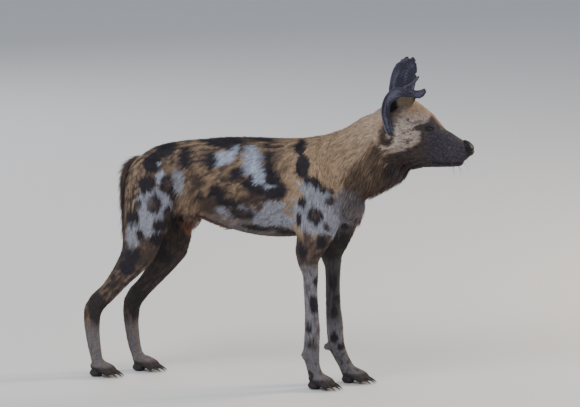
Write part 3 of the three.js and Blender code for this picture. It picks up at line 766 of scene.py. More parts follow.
# Tail and groin hair: brown-black, with a dirty white brush at the tail's end.
tail_share = region_weight[5]
stain("brown", tail_share)
stain("black", tail_share * step_up(ragged, -0.1, 0.3) * 0.8)
stain("white", tail_share * step_up(-z, -372, -335) * 0.9)
near_groin = step_up(region_weight[6], 0.35, 0.6) * step_up(-np.abs(y), -30, -20) * step_up(-z, -478, -462)
stain("red", near_groin)
paint = np.clip(paint, 0.004, 0.9)

# How the hair stands: the ruff hangs long and loose from throat and neck, as does the belly fringe.
throat = step_up(-hz, -618, -600) * (hx > -60) * step_up(-hx, -104, -84) * (z > 480)
hanging = np.clip(ruff * step_up(-z, -690, -640) * (on_head < 0.5) + throat, 0, 1)
fringe = step_up(-z, -462, -446) * (np.abs(y) < 26) * step_up(-np.abs(x + 175), -62, -40)
REGIONS.append("ruff")
region[(hanging > 0.35) | (fringe > 0.4)] = REGIONS.index("ruff")
lie += hanging[:, None] * np.array([-0.3, 0, -1.2])
lie -= normals * (lie * normals).sum(1)[:, None]
lie /= np.linalg.norm(lie, axis=1)[:, None] + 1e-6
lift = 0.13 + 0.30 * hanging + 0.55 * fringe + 0.08 * region_weight[1]
stain("red", fringe * 0.7)

bare = np.clip(nose_pad + step_up(-z, -7, -3), 0, 1)
hair_length = hair * (1 - 0.55 * step_up(hx, 120, 200) * on_head)
hair_length = hair_length * (1 - hanging) + 36 * hanging * (0.75 + 0.25 * coarse)
hair_length = np.where(fringe > 0.4, 20, hair_length)


def keep(mesh, name, kind, field, values):
    attribute = mesh.attributes.new(name, kind, "POINT")
    attribute.data.foreach_set(field, np.ascontiguousarray(values, dtype=np.float32).ravel())


def keep_coat(mesh, colours, ways, lengths, lifts, nakedness):
    """Everything that the hair reads where it is rooted."""
    keep(mesh, "coat", "FLOAT_COLOR", "color", np.hstack([colours, np.ones((len(colours), 1))]))
    keep(mesh, "lie", "FLOAT_VECTOR", "vector", ways)
    keep(mesh, "hair", "FLOAT", "value", lengths * MM)
    keep(mesh, "lift", "FLOAT", "value", lifts)
    keep(mesh, "bare", "FLOAT", "value", nakedness)


keep_coat(hide.data, paint, lie, hair_length, lift, bare)
for k, name in enumerate(REGIONS):
    keep(hide.data, "on_" + name, "FLOAT", "value", region == k)

# The unwrap of the hide's own shape, shared by every tuft that stands on it.


def unwrap(thing):
    for other in bpy.context.selected_objects:
        other.select_set(False)
    bpy.context.view_layer.objects.active = thing
    thing.select_set(True)
    thing.data.uv_layers.new(name="OFBake")
    bpy.ops.object.mode_set(mode="EDIT")
    bpy.ops.mesh.select_all(action="SELECT")
    bpy.ops.uv.smart_project(angle_limit=math.radians(66), island_margin=0.002)
    bpy.ops.object.mode_set(mode="OBJECT")


unwrap(hide)

# Finish of hide and hair: the kept markings, streaked and flecked, with the hair's tips paler.


def fleck_group():
    """Breaks a colour up into single hairs: a mask of fine flecks from the object's own place."""
    group = bpy.data.node_groups.new("hair_flecks", "ShaderNodeTree")
    group.interface.new_socket("Scale", in_out="INPUT", socket_type="NodeSocketFloat")
    group.interface.new_socket("Fleck", in_out="OUTPUT", socket_type="NodeSocketFloat")
    nodes, links = group.nodes, group.links
    given, result = nodes.new("NodeGroupInput"), nodes.new("NodeGroupOutput")
    place = nodes.new("ShaderNodeTexCoord")
    noise = nodes.new("ShaderNodeTexNoise")
    noise.inputs["Detail"].default_value = 3
    links.new(place.outputs["Object"], noise.inputs["Vector"])
    links.new(given.outputs["Scale"], noise.inputs["Scale"])
    spread = nodes.new("ShaderNodeMapRange")
    spread.inputs["From Min"].default_value = 0.3
    spread.inputs["From Max"].default_value = 0.7
    links.new(noise.outputs["Fac"], spread.inputs["Value"])
    links.new(spread.outputs["Result"], result.inputs["Fleck"])
    return group


FLECKS = fleck_group()


def coat_finish(name, fleck_scale, low, high, roughness, on_hair):
    """A material that reads the markings and scales them by flecks and, on hair, by tuft and tip."""
    material, nodes, links, shader = new_material(name, roughness, 0.25)
    marks = nodes.new("ShaderNodeAttribute")
    marks.attribute_name = "coat"
    flecks = nodes.new("ShaderNodeGroup")
    flecks.node_tree = FLECKS
    flecks.inputs["Scale"].default_value = fleck_scale
    level = nodes.new("ShaderNodeMapRange")
    level.inputs["To Min"].default_value = low
    level.inputs["To Max"].default_value = high
    links.new(flecks.outputs["Fleck"], level.inputs["Value"])
    factor = level.outputs["Result"]
    if on_hair:
        tone = nodes.new("ShaderNodeAttribute")
        tone.attribute_name = "tone"
        times = nodes.new("ShaderNodeMath")
        times.operation = "MULTIPLY"
        links.new(factor, times.inputs[0])
        links.new(tone.outputs["Fac"], times.inputs[1])
        factor = times.outputs[0]
    scale = nodes.new("ShaderNodeVectorMath")
    scale.operation = "SCALE"
    links.new(marks.outputs["Color"], scale.inputs[0])
    links.new(factor, scale.inputs["Scale"])
    links.new(scale.outputs["Vector"], shader.inputs["Base Color"])
    if not on_hair:
        bump = nodes.new("ShaderNodeBump")
        bump.inputs["Distance"].default_value = 0.0012
        bump.inputs["Strength"].default_value = 0.6
        links.new(flecks.outputs["Fleck"], bump.inputs["Height"])
        links.new(bump.outputs["Normal"], shader.inputs["Normal"])
        wet = nodes.new("ShaderNodeAttribute")
        wet.attribute_name = "bare"
        shine = nodes.new("ShaderNodeMapRange")
        shine.inputs["To Min"].default_value = roughness
        shine.inputs["To Max"].default_value = 0.6
        links.new(wet.outputs["Fac"], shine.inputs["Value"])
        links.new(shine.outputs["Result"], shader.inputs["Roughness"])
    return material


HIDE_FINISH = coat_finish("hide_finish", 420, 0.55, 1.1, 0.8, False)
HAIR_FINISH = coat_finish("hair_finish", 90, 0.8, 1.2, 0.55, True)
hide.data.materials.clear()
hide.data.materials.append(HIDE_FINISH)
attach(hide, "root")
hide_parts("torso", "neck", "head", "tail", "groin_tuft", *LEG_NODES)

# Coat: tufts of hair over the hide, thickest on ruff, tail and groin, shortest on face and feet.
# One tuft is three slim three-sided hairs from one root. A tree scatters it over one region,
# lays it along the coat's lie, and gives each tuft its own length, tone and bake patch.


def tuft(name, hairs, spread, bend, seed):
    """Slim tapering hairs a unit long up Z, flat across Y, bending towards -X at the tip."""
    draw = np.random.default_rng(seed)
    verts, faces = [], []
    for _ in range(hairs):
        root = np.array([draw.uniform(-0.2, 0.2), draw.uniform(-1, 1), 0]) * spread
        lean = np.array([draw.uniform(-0.05, 0.08), draw.uniform(-1, 1) * 0.10, 0])
        height = draw.uniform(0.75, 1.0)
        base = len(verts)
        for t, wide in ((0, 1.0), (0.55, 0.8)):
            middle = root + lean * t - np.array([bend * t * t, 0, -t * height])
            for k in range(3):
                turn = k * 2.0944 + 0.5
                across = np.array([math.cos(turn) * 0.5, math.sin(turn), 0]) * 0.038 * wide
                verts.append(middle + across)
        verts.append(root + lean - np.array([bend, 0, -height]))
        for k in range(3):
            n = (k + 1) % 3
            faces.append((base + k, base + n, base + 3 + n, base + 3 + k))
            faces.append((base + 3 + k, base + 3 + n, base + 6))
    mesh = bpy.data.meshes.new(name)
    mesh.from_pydata([tuple(v) for v in verts], [], faces)
    fix_normals(mesh)
    keep(mesh, "run", "FLOAT", "value", points_of(mesh)[:, 2].clip(0, 1))
    return bpy.data.objects.new(name, mesh)


def coat_tree(name):
    """Geometry Nodes: scatter a tuft over one region of the hide and lay it along the lie."""
    tree = bpy.data.node_groups.new(name, "GeometryNodeTree")
    face = tree.interface
    face.new_socket("Geometry", in_out="INPUT", socket_type="NodeSocketGeometry")
    face.new_socket("Geometry", in_out="OUTPUT", socket_type="NodeSocketGeometry")
    for label, kind in (
        ("Tuft", "NodeSocketObject"), ("Region", "NodeSocketString"), ("Density", "NodeSocketFloat"),
        ("Width", "NodeSocketFloat"), ("Length", "NodeSocketFloat"),
        ("Seed", "NodeSocketInt"), ("Finish", "NodeSocketMaterial"),
    ):
        face.new_socket(label, in_out="INPUT", socket_type=kind)
    nodes, links = tree.nodes, tree.links

    def add(kind, **settings):
        node = nodes.new(kind)
        for key, value in settings.items():
            setattr(node, key, value)
        return node

    def math_node(operation, a, b):
        node = add("ShaderNodeMath", operation=operation)
        for slot, value in zip(node.inputs, (a, b)):
            if isinstance(value, (int, float)):
                slot.default_value = value
            else:
                links.new(value, slot)
        return node.outputs[0]

    def named(label, kind):
        node = add("GeometryNodeInputNamedAttribute", data_type=kind)
        node.inputs["Name"].default_value = label
        return node.outputs["Attribute"]

    def vector(operation, a, b=None, scale=None):
        node = add("ShaderNodeVectorMath", operation=operation)
        links.new(a, node.inputs[0])
        if b is not None:
            links.new(b, node.inputs[1])
        if scale is not None:
            links.new(scale, node.inputs["Scale"])
        return node.outputs["Vector"]

    def chance(low, high, offset):
        node = add("FunctionNodeRandomValue", data_type="FLOAT")
        node.inputs["Min"].default_value = low
        node.inputs["Max"].default_value = high
        links.new(math_node("ADD", given.outputs["Seed"], offset), node.inputs["Seed"])
        return [s for s in node.outputs if s.enabled][0]

    def store(geometry, label, kind, value, domain="POINT"):
        node = add("GeometryNodeStoreNamedAttribute", data_type=kind, domain=domain)
        node.inputs["Name"].default_value = label
        links.new(geometry, node.inputs["Geometry"])
        links.new(value, node.inputs["Value"])
        return node.outputs["Geometry"]

    given, result = add("NodeGroupInput"), add("NodeGroupOutput")
    region_value = add("GeometryNodeInputNamedAttribute", data_type="FLOAT")
    links.new(given.outputs["Region"], region_value.inputs["Name"])
    haired = math_node("SUBTRACT", 1.0, named("bare", "FLOAT"))
    density = math_node("MULTIPLY", region_value.outputs["Attribute"], given.outputs["Density"])
    density = math_node("MULTIPLY", density, haired)
    scatter = add("GeometryNodeDistributePointsOnFaces", distribute_method="RANDOM")
    links.new(given.outputs["Geometry"], scatter.inputs["Mesh"])
    links.new(density, scatter.inputs["Density"])
    links.new(given.outputs["Seed"], scatter.inputs["Seed"])
    spots = store(scatter.outputs["Points"], "root_place", "FLOAT_VECTOR", named("OFBake", "FLOAT_VECTOR"))
    spots = store(spots, "tone", "FLOAT", chance(0.6, 1.42, 11))
    normal = scatter.outputs["Normal"]
    jitter = add("FunctionNodeRandomValue", data_type="FLOAT_VECTOR")
    jitter.inputs["Min"].default_value = (-0.16, -0.16, -0.16)
    jitter.inputs["Max"].default_value = (0.16, 0.16, 0.16)
    loose = [s for s in jitter.outputs if s.enabled][0]
    way = vector("ADD", named("lie", "FLOAT_VECTOR"), loose)
    way = vector("ADD", way, vector("SCALE", normal, scale=named("lift", "FLOAT")))
    stand = add("FunctionNodeAlignRotationToVector", axis="Z")
    links.new(way, stand.inputs["Vector"])
    face_out = add("FunctionNodeAlignRotationToVector", axis="X", pivot_axis="Z")
    links.new(stand.outputs["Rotation"], face_out.inputs["Rotation"])
    links.new(normal, face_out.inputs["Vector"])
    length = math_node("MULTIPLY", named("hair", "FLOAT"), given.outputs["Length"])
    length = math_node("MULTIPLY", length, chance(0.7, 1.2, 5))
    size = add("ShaderNodeCombineXYZ")
    links.new(given.outputs["Width"], size.inputs["X"])
    links.new(given.outputs["Width"], size.inputs["Y"])
    links.new(length, size.inputs["Z"])
    shape = add("GeometryNodeObjectInfo", transform_space="ORIGINAL")
    links.new(given.outputs["Tuft"], shape.inputs["Object"])
    place = add("GeometryNodeInstanceOnPoints")
    links.new(spots, place.inputs["Points"])
    links.new(shape.outputs["Geometry"], place.inputs["Instance"])
    links.new(face_out.outputs["Rotation"], place.inputs["Rotation"])
    links.new(size.outputs["Vector"], place.inputs["Scale"])
    real = add("GeometryNodeRealizeInstances")
    links.new(place.outputs["Instances"], real.inputs["Geometry"])
    patch = add("ShaderNodeCombineXYZ")
    links.new(math_node("MULTIPLY", named("run", "FLOAT"), 0.003), patch.inputs["X"])
    links.new(math_node("MULTIPLY", named("tone", "FLOAT"), 0.001), patch.inputs["Y"])
    bake_place = vector("ADD", named("root_place", "FLOAT_VECTOR"), patch.outputs["Vector"])
    done = store(real.outputs["Geometry"], "OFBake", "FLOAT2", bake_place, "CORNER")
    tip = math_node("MULTIPLY", named("tone", "FLOAT"), math_node("ADD", 0.58, math_node(
        "MULTIPLY", named("run", "FLOAT"), 0.7,
    )))
    done = store(done, "tone", "FLOAT", tip)
    finish = add("GeometryNodeSetMaterial")
    links.new(done, finish.inputs["Geometry"])
    links.new(given.outputs["Finish"], finish.inputs["Material"])
    links.new(finish.outputs["Geometry"], result.inputs["Geometry"])
    return tree


COAT_TREE = coat_tree("coat_tree")
SHORT_TUFT = tuft("short_tuft", 2, 0.10, 0.06, 3)
LONG_TUFT = tuft("long_tuft", 3, 0.5, 0.16, 8)
CURLED_TUFT = tuft("curled_tuft", 3, 0.5, 0.42, 9)
PASSED_ON = ("lie", "hair", "lift", "bare", "root_place", "run")


def grow(name, ground, area, shape, density, width, length, seed):
    """One piece of coat: tufts of that shape over one marked area of the ground's mesh."""
    grower = place_new(name, ground.data)
    modifier = grower.modifiers.new("coat", "NODES")
    modifier.node_group = COAT_TREE
    values = {
        "Tuft": shape, "Region": area, "Density": float(density),
        "Width": width, "Length": length, "Seed": seed, "Finish": HAIR_FINISH,
    }
    for item in COAT_TREE.interface.items_tree:
        if item.in_out == "INPUT" and item.name in values:
            modifier[item.identifier] = values[item.name]
    graph = bpy.context.evaluated_depsgraph_get()
    coat_mesh = bpy.data.meshes.new_from_object(grower.evaluated_get(graph))
    bpy.data.objects.remove(grower)
    coat_mesh.name = name
    for attribute in [a.name for a in coat_mesh.attributes]:
        if attribute in PASSED_ON or attribute.startswith("on_"):
            coat_mesh.attributes.remove(coat_mesh.attributes[attribute])
    coat = place_new(name, coat_mesh)
    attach(coat, "root")


# Area, tuft, tufts per square metre, width in metres, length against the hide's own hair value.
COAT_PIECES = {
    "coat_head": ("on_head", SHORT_TUFT, 112000, 0.0065, 1.0),
    "coat_neck": ("on_neck", SHORT_TUFT, 110000, 0.012, 1.0),
    "coat_trunk_a": ("on_trunk", SHORT_TUFT, 40000, 0.012, 1.2),
    "coat_trunk_b": ("on_trunk", SHORT_TUFT, 40000, 0.011, 1.1),
    "coat_forelegs": ("on_fore", SHORT_TUFT, 56000, 0.009, 1.1),
    "coat_hindlegs": ("on_hind", SHORT_TUFT, 46000, 0.009, 1.1),
    "ruff_hair": ("on_ruff", LONG_TUFT, 60000, 0.012, 1.0),
    "ruff_locks": ("on_ruff", CURLED_TUFT, 9000, 0.036, 1.3),
    "tail_hair": ("on_tail", LONG_TUFT, 110000, 0.010, 1.9),
    "groin_hair": ("on_groin", LONG_TUFT, 150000, 0.010, 1.7),
}
for seed, (name, (area, shape, density, width, length)) in enumerate(COAT_PIECES.items(), 1):
    grow(name, hide, area, shape, density, width, length, seed)

# Nose: a pad of bare black leather, pebbled, with two comma-shaped nostrils and a groove between.
# It covers the muzzle's end and is fuller all round than the solid that it replaces.
NOSE_PAD = [
    [200, 660, 636, 648, 9],
    [205, 663, 627, 645, 17],
    [212, 661.5, 622, 643, 21],
    [219, 658, 620.5, 641, 22],
    [225, 653, 622, 639, 19.5],
    [229.5, 647, 626, 637, 14],
    [232, 641, 631, 636, 6],
]
NOSE_TOP = (0.010, 0.009, 0.012, 1)
NOSE_CRACK = (0.003, 0.003, 0.004, 1)
PEBBLE_SCALE = 650
NOSE_HOLLOWS = [
    ((231, 8.5, 640), (6, 4.0, 3.8), -6.0),
    ((224, 18, 637), (7, 5, 2.3), -4.5),
    ((217, 22, 634), (5, 4, 1.8), -2.5),
    ((231, 0, 632), (7, 1.3, 9), -2.0),
    ((229, 8, 647), (6, 6, 3), 1.0),
]
nose = mesh_from_rings("nose_pad", [in_head(r) for r in trunk_rings(NOSE_PAD, 56, 88, (2.2, 2.2))])
nose_spots = to_head(points_of(nose.data))
nose_spots[:, 1] = np.abs(nose_spots[:, 1])
nose_push = sum(
    height * np.exp(-(((nose_spots - spot) / reach) ** 2).sum(1)) for spot, reach, height in NOSE_HOLLOWS
)
push_out(nose, nose_push)
shade_smooth(nose)


def two_tone(nodes, links, shader, factor, first, second):
    """Colours the shader between two colours by the factor."""
    blend = nodes.new("ShaderNodeMix")
    blend.data_type = "RGBA"
    blend.inputs["A"].default_value = first
    blend.inputs["B"].default_value = second
    links.new(factor, blend.inputs["Factor"])
    links.new(blend.outputs["Result"], shader.inputs["Base Color"])


nose_finish, nose_nodes, nose_links, nose_shader = new_material("nose_leather", 0.5, 0.25)
nose_place = nose_nodes.new("ShaderNodeTexCoord")
pebbles = nose_nodes.new("ShaderNodeTexVoronoi")
pebbles.inputs["Scale"].default_value = PEBBLE_SCALE
nose_links.new(nose_place.outputs["Object"], pebbles.inputs["Vector"])
two_tone(nose_nodes, nose_links, nose_shader, pebbles.outputs["Distance"], NOSE_TOP, NOSE_CRACK)
nose_bump = nose_nodes.new("ShaderNodeBump")
nose_bump.invert = True
nose_bump.inputs["Distance"].default_value = 0.0006
nose_bump.inputs["Strength"].default_value = 0.5
nose_links.new(pebbles.outputs["Distance"], nose_bump.inputs["Height"])
nose_links.new(nose_bump.outputs["Normal"], nose_shader.inputs["Normal"])
nose.data.materials.append(nose_finish)
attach(nose, "root")
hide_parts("nose")

# Eyes: dark brown balls with a black pupil under a wet cornea, half closed by black lids.
# Each ball sits where the head's socket holds it, and turns out to its own side.
GAZE_AHEAD, GAZE_ASIDE = 0.62, 0.78
BALL_SHARE = 0.98
PUPIL = (0.002, 0.002, 0.002, 1)
IRIS = (0.050, 0.022, 0.009, 1)
IRIS_RIM = (0.022, 0.010, 0.006, 1)
EYE_EDGE = (0.01, 0.008, 0.008, 1)
EYE_RINGS = [(0.30, PUPIL), (0.36, IRIS), (0.66, IRIS_RIM), (0.74, EYE_EDGE)]


def ball(name, centre, radius):
    work = bmesh.new()
    bmesh.ops.create_uvsphere(work, u_segments=48, v_segments=32, radius=1)
    mesh = bpy.data.meshes.new(name)
    work.to_mesh(mesh)
    work.free()
    put_points(mesh, points_of(mesh) * radius + np.array(centre))
    thing = place_new(name, mesh)
    shade_smooth(thing)
    return thing


for name, side in (("eye_right", -1), ("eye_left", 1)):
    low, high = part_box(name)
    centre = (low + high) / 2
    eye = ball(name + "_ball", centre, EYE_RADIUS * MM * BALL_SHARE)
    local = np.array([GAZE_AHEAD, side * GAZE_ASIDE, 0.02])
    gaze = (in_head(local[None]) - HEAD_AT)[0]
    gaze /= np.linalg.norm(gaze)
    material, nodes, links, shader = new_material(name + "_finish", 0.08, 0.4)
    place = nodes.new("ShaderNodeTexCoord")
    away = nodes.new("ShaderNodeVectorMath")
    away.operation = "DISTANCE"
    away.inputs[1].default_value = Vector(centre) + Vector(gaze) * EYE_RADIUS * MM
    links.new(place.outputs["Object"], away.inputs[0])
    ramp = nodes.new("ShaderNodeValToRGB")
    stops = ramp.color_ramp.elements
    stops[0].color, stops[1].color = PUPIL, EYE_EDGE
    for share, colour in EYE_RINGS:
        stops.new(share).color = colour
    spread = nodes.new("ShaderNodeMath")
    spread.operation = "DIVIDE"
    spread.inputs[1].default_value = EYE_RADIUS * MM
    links.new(away.outputs["Value"], spread.inputs[0])
    links.new(spread.outputs[0], ramp.inputs["Fac"])
    links.new(ramp.outputs["Color"], shader.inputs["Base Color"])
    eye.data.materials.append(material)
    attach(eye, "root")
    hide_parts(name)

# Eyelids: two black rims round each ball, thick above, thin below.
LID_ROUND = EYE_RADIUS + 0.8
LID_FUSE = (0.0007, 2)
LIDS = {"upper": (5.1, 2.1), "lower": (-4.7, 1.7)}
lid_parts = []
for side in (-1, 1):
    for rise_at_middle, thick in LIDS.values():
        rows = []
        for k in range(9):
            turn = (k / 8 - 0.5) * math.pi
            rise = math.cos(turn) * rise_at_middle
            across = math.sin(turn) * (LID_ROUND + 1.5)
            out = math.sqrt(max(LID_ROUND**2 - across**2 * 0.62 - rise**2 * 0.6, 9))
            spot = np.array([
                EYE_AT[0] + out * GAZE_AHEAD + across * GAZE_ASIDE,
                side * (EYE_AT[1] + out * GAZE_ASIDE - across * GAZE_AHEAD),
                EYE_AT[2] + rise - across * 0.12,
            ])
            ends = 0.4 + 0.6 * math.cos(turn)
            rows.append([*in_head(spot[None])[0], *[thick * ends + 0.4] * 4])
        lid_parts.append(mesh_from_rings("lid", limb_rings(rows, 28, 12)))
lids = fuse("eyelids", lid_parts, *LID_FUSE)


def fleck_finish(name, scale, first, second, roughness, specular=0.5):
    """A bare surface, mottled between two colours by the hair's own flecks."""
    material, nodes, links, shader = new_material(name, roughness, specular)
    flecks = nodes.new("ShaderNodeGroup")
    flecks.node_tree = FLECKS
    flecks.inputs["Scale"].default_value = scale
    two_tone(nodes, links, shader, flecks.outputs["Fleck"], first, second)
    return material


LID_DARK, LID_LIGHT = (0.010, 0.009, 0.010, 1), (0.026, 0.023, 0.025, 1)
lid_finish = fleck_finish("lid_skin", 700, LID_DARK, LID_LIGHT, 0.75, 0.15)
lids.data.materials.append(lid_finish)
shade_smooth(lids)
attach(lids, "root")

# Ears: thin cups of gristle under short hair, blue-black behind with a painted bluish sheen, cream and
# near-black in the hollow, the near-black partly dark skin and partly painted shade.
# The left one stands upright with a torn edge. The right one is curled forward over its own
# hollow, and a torn strip of its rim stands off above it.
LEFT_EAR = [
    [36, 38, 722, 20, 22],
    [36, 46, 742, 28, 26],
    [37, 51, 762, 32, 26],
    [39, 63, 790, 36, 22],
    [44, 78, 818, 38, 16],
    [49, 88, 842, 33, 10],
    [56, 93, 858, 22, 6],
    [60, 95, 866, 11, 3],
]
RIGHT_EAR = [
    [18, 50, 682, 14, 58, 680, 20, 61, 690],
    [14, 46, 694, 4, 68, 698, 18, 76, 714],
    [10, 46, 718, -6, 76, 740, 13, 90, 746],
    [14, 42, 738, -1, 76, 776, 16, 95, 771],
    [30, 36, 748, 19, 74, 802, 37, 95, 789],
    [50, 34, 752, 45, 72, 806, 62, 93, 791],
    [68, 40, 756, 70, 72, 801, 84, 90, 787],
    [84, 64, 786, 90, 74, 802, 98, 86, 790],
    [101, 74, 801, 104, 77, 808, 107, 80, 802],
]
EAR_STRIP = [
    [18, -70, 796, 3, 3, 9, 9],
    [32, -66, 802, 3, 3, 9, 9],
    [57, -62, 812, 2.8, 2.8, 8, 8],
    [74, -60, 822, 2.8, 2.8, 6, 6],
    [84, -58, 833, 3.2, 3.2, 4.5, 4.5],
    [88, -58, 839, 2, 2, 2, 2],
]
EAR_TURN = math.radians(60)
FULL_SWEEP = (112, 78)
REAR_NICKS = [(0.70, 0.016, 0.30), (0.80, 0.020, 0.45), (0.90, 0.022, 0.60)]
FRONT_NICKS = [(0.62, 0.018, 0.25), (0.84, 0.020, 0.40)]


def left_ear(u, v):
    row_x, out, up, half, deep = between(LEFT_EAR, u * (len(LEFT_EAR) - 1))
    nicks = REAR_NICKS if v > 0.5 else FRONT_NICKS
    torn = sum(bite * math.exp(-(((u - at) / wide) ** 2)) for at, wide, bite in nicks)
    edge = abs(2 * v - 1)
    sweep = FULL_SWEEP[0] + (FULL_SWEEP[1] - FULL_SWEEP[0]) * u
    sweep = math.radians(sweep) * (2 * v - 1) * (1 - torn * edge**6)
    wide, deep = half * math.sin(sweep), deep * math.cos(sweep)
    return np.array([
        row_x - wide * math.sin(EAR_TURN) - deep * math.cos(EAR_TURN),
        out + wide * math.cos(EAR_TURN) - deep * math.sin(EAR_TURN),
        up + 3 * math.sin(9 * v) * (u > 0.8) * (u - 0.8) * 5,
    ])


def right_ear(u, v):
    row = between(RIGHT_EAR, u * (len(RIGHT_EAR) - 1))
    root, crest, lip = row[:3], row[3:6], row[6:]
    middle = crest * 2 - (root + lip) / 2
    spot = root * (1 - v) ** 2 + middle * 2 * v * (1 - v) + lip * v * v
    spot[1] = -spot[1]
    return spot


def sheet(name, grid, normal, thickness):
    """A closed sheet round a grid of points, thinning towards the tip and the margins."""
    count_u, count_v = grid.shape[:2]
    u = np.linspace(0, 1, count_u)[:, None, None]
    v = np.linspace(0, 1, count_v)[None, :, None]
    half = (thickness - 2 * u) / 2 * (0.5 + 0.5 * np.sqrt(np.sin(np.pi * np.clip(v, 0.02, 0.98))))
    points = np.concatenate([(grid + normal * half).reshape(-1, 3), (grid - normal * half).reshape(-1, 3)])
    size = count_u * count_v
    faces = []
    for i in range(count_u - 1):
        for j in range(count_v - 1):
            a = i * count_v + j
            quad = (a, a + count_v, a + count_v + 1, a + 1)
            faces += [quad, tuple(size + k for k in reversed(quad))]
    rim = [i * count_v for i in range(count_u)]
    rim += [(count_u - 1) * count_v + j for j in range(1, count_v)]
    rim += [i * count_v + count_v - 1 for i in range(count_u - 2, -1, -1)]
    rim += list(range(count_v - 2, 0, -1))
    for a, b in zip(rim, rim[1:] + rim[:1]):
        faces.append((a, b, size + b, size + a))
    mesh = bpy.data.meshes.new(name)
    mesh.from_pydata(((points + ORIGIN) * MM).tolist(), [], faces)
    fix_normals(mesh)
    return place_new(name, mesh)


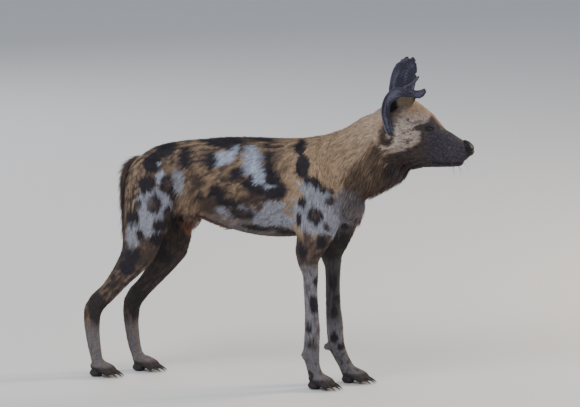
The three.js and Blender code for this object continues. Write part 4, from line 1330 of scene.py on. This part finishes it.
EAR_TONES = {
    "back": (0.030, 0.028, 0.042),
    # Painted highlights: a bluish sheen mottled over the ear's back, and a pale sheen line along the near
    # ear's curled crest.
    "sheen": (0.10, 0.098, 0.145),
    "crest_sheen": (0.26, 0.26, 0.31),
    "strip": (0.09, 0.085, 0.11),
    # The inside of the cup: partly dark skin, partly painted shade of its depth.
    "hollow": (0.010, 0.009, 0.010),
    "cream": (0.36, 0.27, 0.19),
}
EAR_FUSE = (0.0013, 4)
EARS = {
    "ear_left": (left_ear, (120, 70), 5.0, (0.0, 0.62)),
    "ear_right": (right_ear, (110, 30), 6.0, (0.55, 0.85)),
}
for seed, (name, (place, steps, thickness, (starts, ends))) in enumerate(EARS.items(), 20):
    us, vs = np.linspace(0, 1, steps[0]), np.linspace(0, 1, steps[1])
    grid = in_head(np.array([[place(u, v) for v in vs] for u in us]).reshape(-1, 3)).reshape(*steps, 3)
    way = np.gradient(grid, axis=0)
    normal = np.cross(way, np.gradient(grid, axis=1))
    normal /= np.linalg.norm(normal, axis=2, keepdims=True) + 1e-9
    hollow_side = np.sign(((grid.mean(1, keepdims=True) - grid) * normal).sum())
    rim_rows = [[*grid[i, -1], 2.6, 2.6, 2.6, 2.6] for i in range(0, steps[0], 4)]
    parts = [sheet(name, grid, normal, thickness), mesh_from_rings("rim", limb_rings(rim_rows, 120, 12))]
    if name == "ear_right":
        parts.append(mesh_from_rings("strip", [in_head(r) for r in limb_rings(EAR_STRIP, 40, 16)]))
    pinna = fuse(name + "_cup", parts, *EAR_FUSE)
    shade_smooth(pinna)
    spots = points_of(pinna.data) / MM - ORIGIN
    facing = normals_of(pinna.data)
    flat = grid.reshape(-1, 3)
    nearest = np.concatenate([
        ((part[:, None] - flat[None]) ** 2).sum(2).argmin(1) for part in np.array_split(spots, 60)
    ])
    u, v = nearest // steps[1] / (steps[0] - 1), nearest % steps[1] / (steps[1] - 1)
    inside = (facing * normal.reshape(-1, 3)[nearest]).sum(1) * hollow_side > 0.1
    lie_here = way.reshape(-1, 3)[nearest]
    lie_here -= facing * (lie_here * facing).sum(1)[:, None]
    lie_here /= np.linalg.norm(lie_here, axis=1)[:, None] + 1e-6
    # Painted highlight: where this mottle is high, the ear is coloured a pale bluish sheen instead of its
    # blue-black.
    sheen_mottle = mottle(np.column_stack([u * 60, v * 90, inside * 40]), 20, seed=3)[:, None]
    sheen_mottle = sheen_mottle + 0.6 * mottle(spots, 6, seed=5)[:, None]
    tone = np.array(EAR_TONES["back"]) * (1 - step_up(sheen_mottle, -0.1, 0.7))
    tone = tone + np.array(EAR_TONES["sheen"]) * step_up(sheen_mottle, -0.1, 0.7)
    if name == "ear_right":
        # Painted highlight: a pale bluish sheen line along the outer side of the near ear's curled crest.
        crest_sheen = step_up(-np.abs(v - 0.5), -0.16, -0.04) * step_up(-u, -0.42, -0.28) * step_up(u, 0.03, 0.1)
        crest_sheen = (crest_sheen * ~inside * 0.8)[:, None]
        tone = tone * (1 - crest_sheen) + np.array(EAR_TONES["crest_sheen"]) * crest_sheen
    # The whole inside is painted near-black: partly dark skin, partly painted shade of the cup's depth.
    tone[inside] = EAR_TONES["hollow"]
    creamy = inside * step_up(u, starts - 0.05, starts) * step_up(-u, -ends, -ends + 0.1)
    creamy = creamy * step_up(-v, -0.7, -0.45) * 0.8
    off_sheet = np.linalg.norm(spots - flat[nearest], axis=1) > 5.5
    creamy[off_sheet] = 0
    tone[off_sheet] = EAR_TONES["strip"]
    tone = tone * (1 - creamy[:, None]) + np.array(EAR_TONES["cream"]) * creamy[:, None]
    length_here = np.where(inside, 9.0, 5.5) * (1 - 0.4 * u)
    keep_coat(pinna.data, tone, lie_here, length_here, np.where(inside, 0.3, 0.12), 0 * u)
    keep(pinna.data, "on_ear", "FLOAT", "value", 0 * u + 1)
    unwrap(pinna)
    pinna.data.materials.clear()
    pinna.data.materials.append(HIDE_FINISH)
    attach(pinna, "root")
    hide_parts(name)
    grow(name + "_hair", pinna, "on_ear", SHORT_TUFT, 260000, 0.0045, 1.0, seed)

# Whiskers: stiff black hairs in short rows on the lips, over the eyes and under the chin.
WHISKERS = [
    ((196, 33, 622), (14, 24, -10)),
    ((188, 35, 616), (8, 26, -14)),
    ((180, 36, 624), (2, 28, -8)),
    ((172, 37, 616), (-4, 28, -14)),
    ((164, 38, 623), (-8, 28, -8)),
    ((204, 30, 614), (16, 18, -16)),
    ((190, 22, 597), (10, 8, -20)),
    ((176, 24, 594), (4, 8, -20)),
    ((106, 40, 716), (6, 16, 18)),
    ((100, 42, 717), (0, 16, 20)),
]
whisker_parts = []
for (lx, out, up), (ahead, aside, rise) in WHISKERS:
    for side in (-1, 1):
        rows = []
        for t in np.linspace(0, 1, 5):
            spot = np.array([[
                lx + ahead * t, side * (out - 4 + (aside + 4) * t), up + rise * t - 8 * t * t,
            ]])
            rows.append([*in_head(spot)[0], *[0.42 - 0.3 * t] * 4])
        whisker_parts.append(mesh_from_rings("whisker", limb_rings(rows, 9, 5)))
whiskers = joined("whiskers", whisker_parts)
whiskers.data.materials.append(lid_finish)
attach(whiskers, "root")

# Claws: blunt black horn, four to a foot, rounded from the solids that hold their place.
CLAW_DARK, CLAW_LIGHT = (0.012, 0.010, 0.009, 1), (0.045, 0.036, 0.030, 1)
claw_finish = fleck_finish("claw_horn", 500, CLAW_DARK, CLAW_LIGHT, 0.35)
for node in sorted(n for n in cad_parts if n.startswith("claw_")):
    claw = place_new(node + "_horn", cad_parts[node].data.copy())
    fix_normals(claw.data)
    rounding = claw.modifiers.new("rounding", "SUBSURF")
    rounding.levels = rounding.render_levels = 2
    bake_down(claw)
    shade_smooth(claw)
    claw.data.materials.clear()
    claw.data.materials.append(claw_finish)
    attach(claw, "root")
    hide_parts(node)

low, high = cad_box
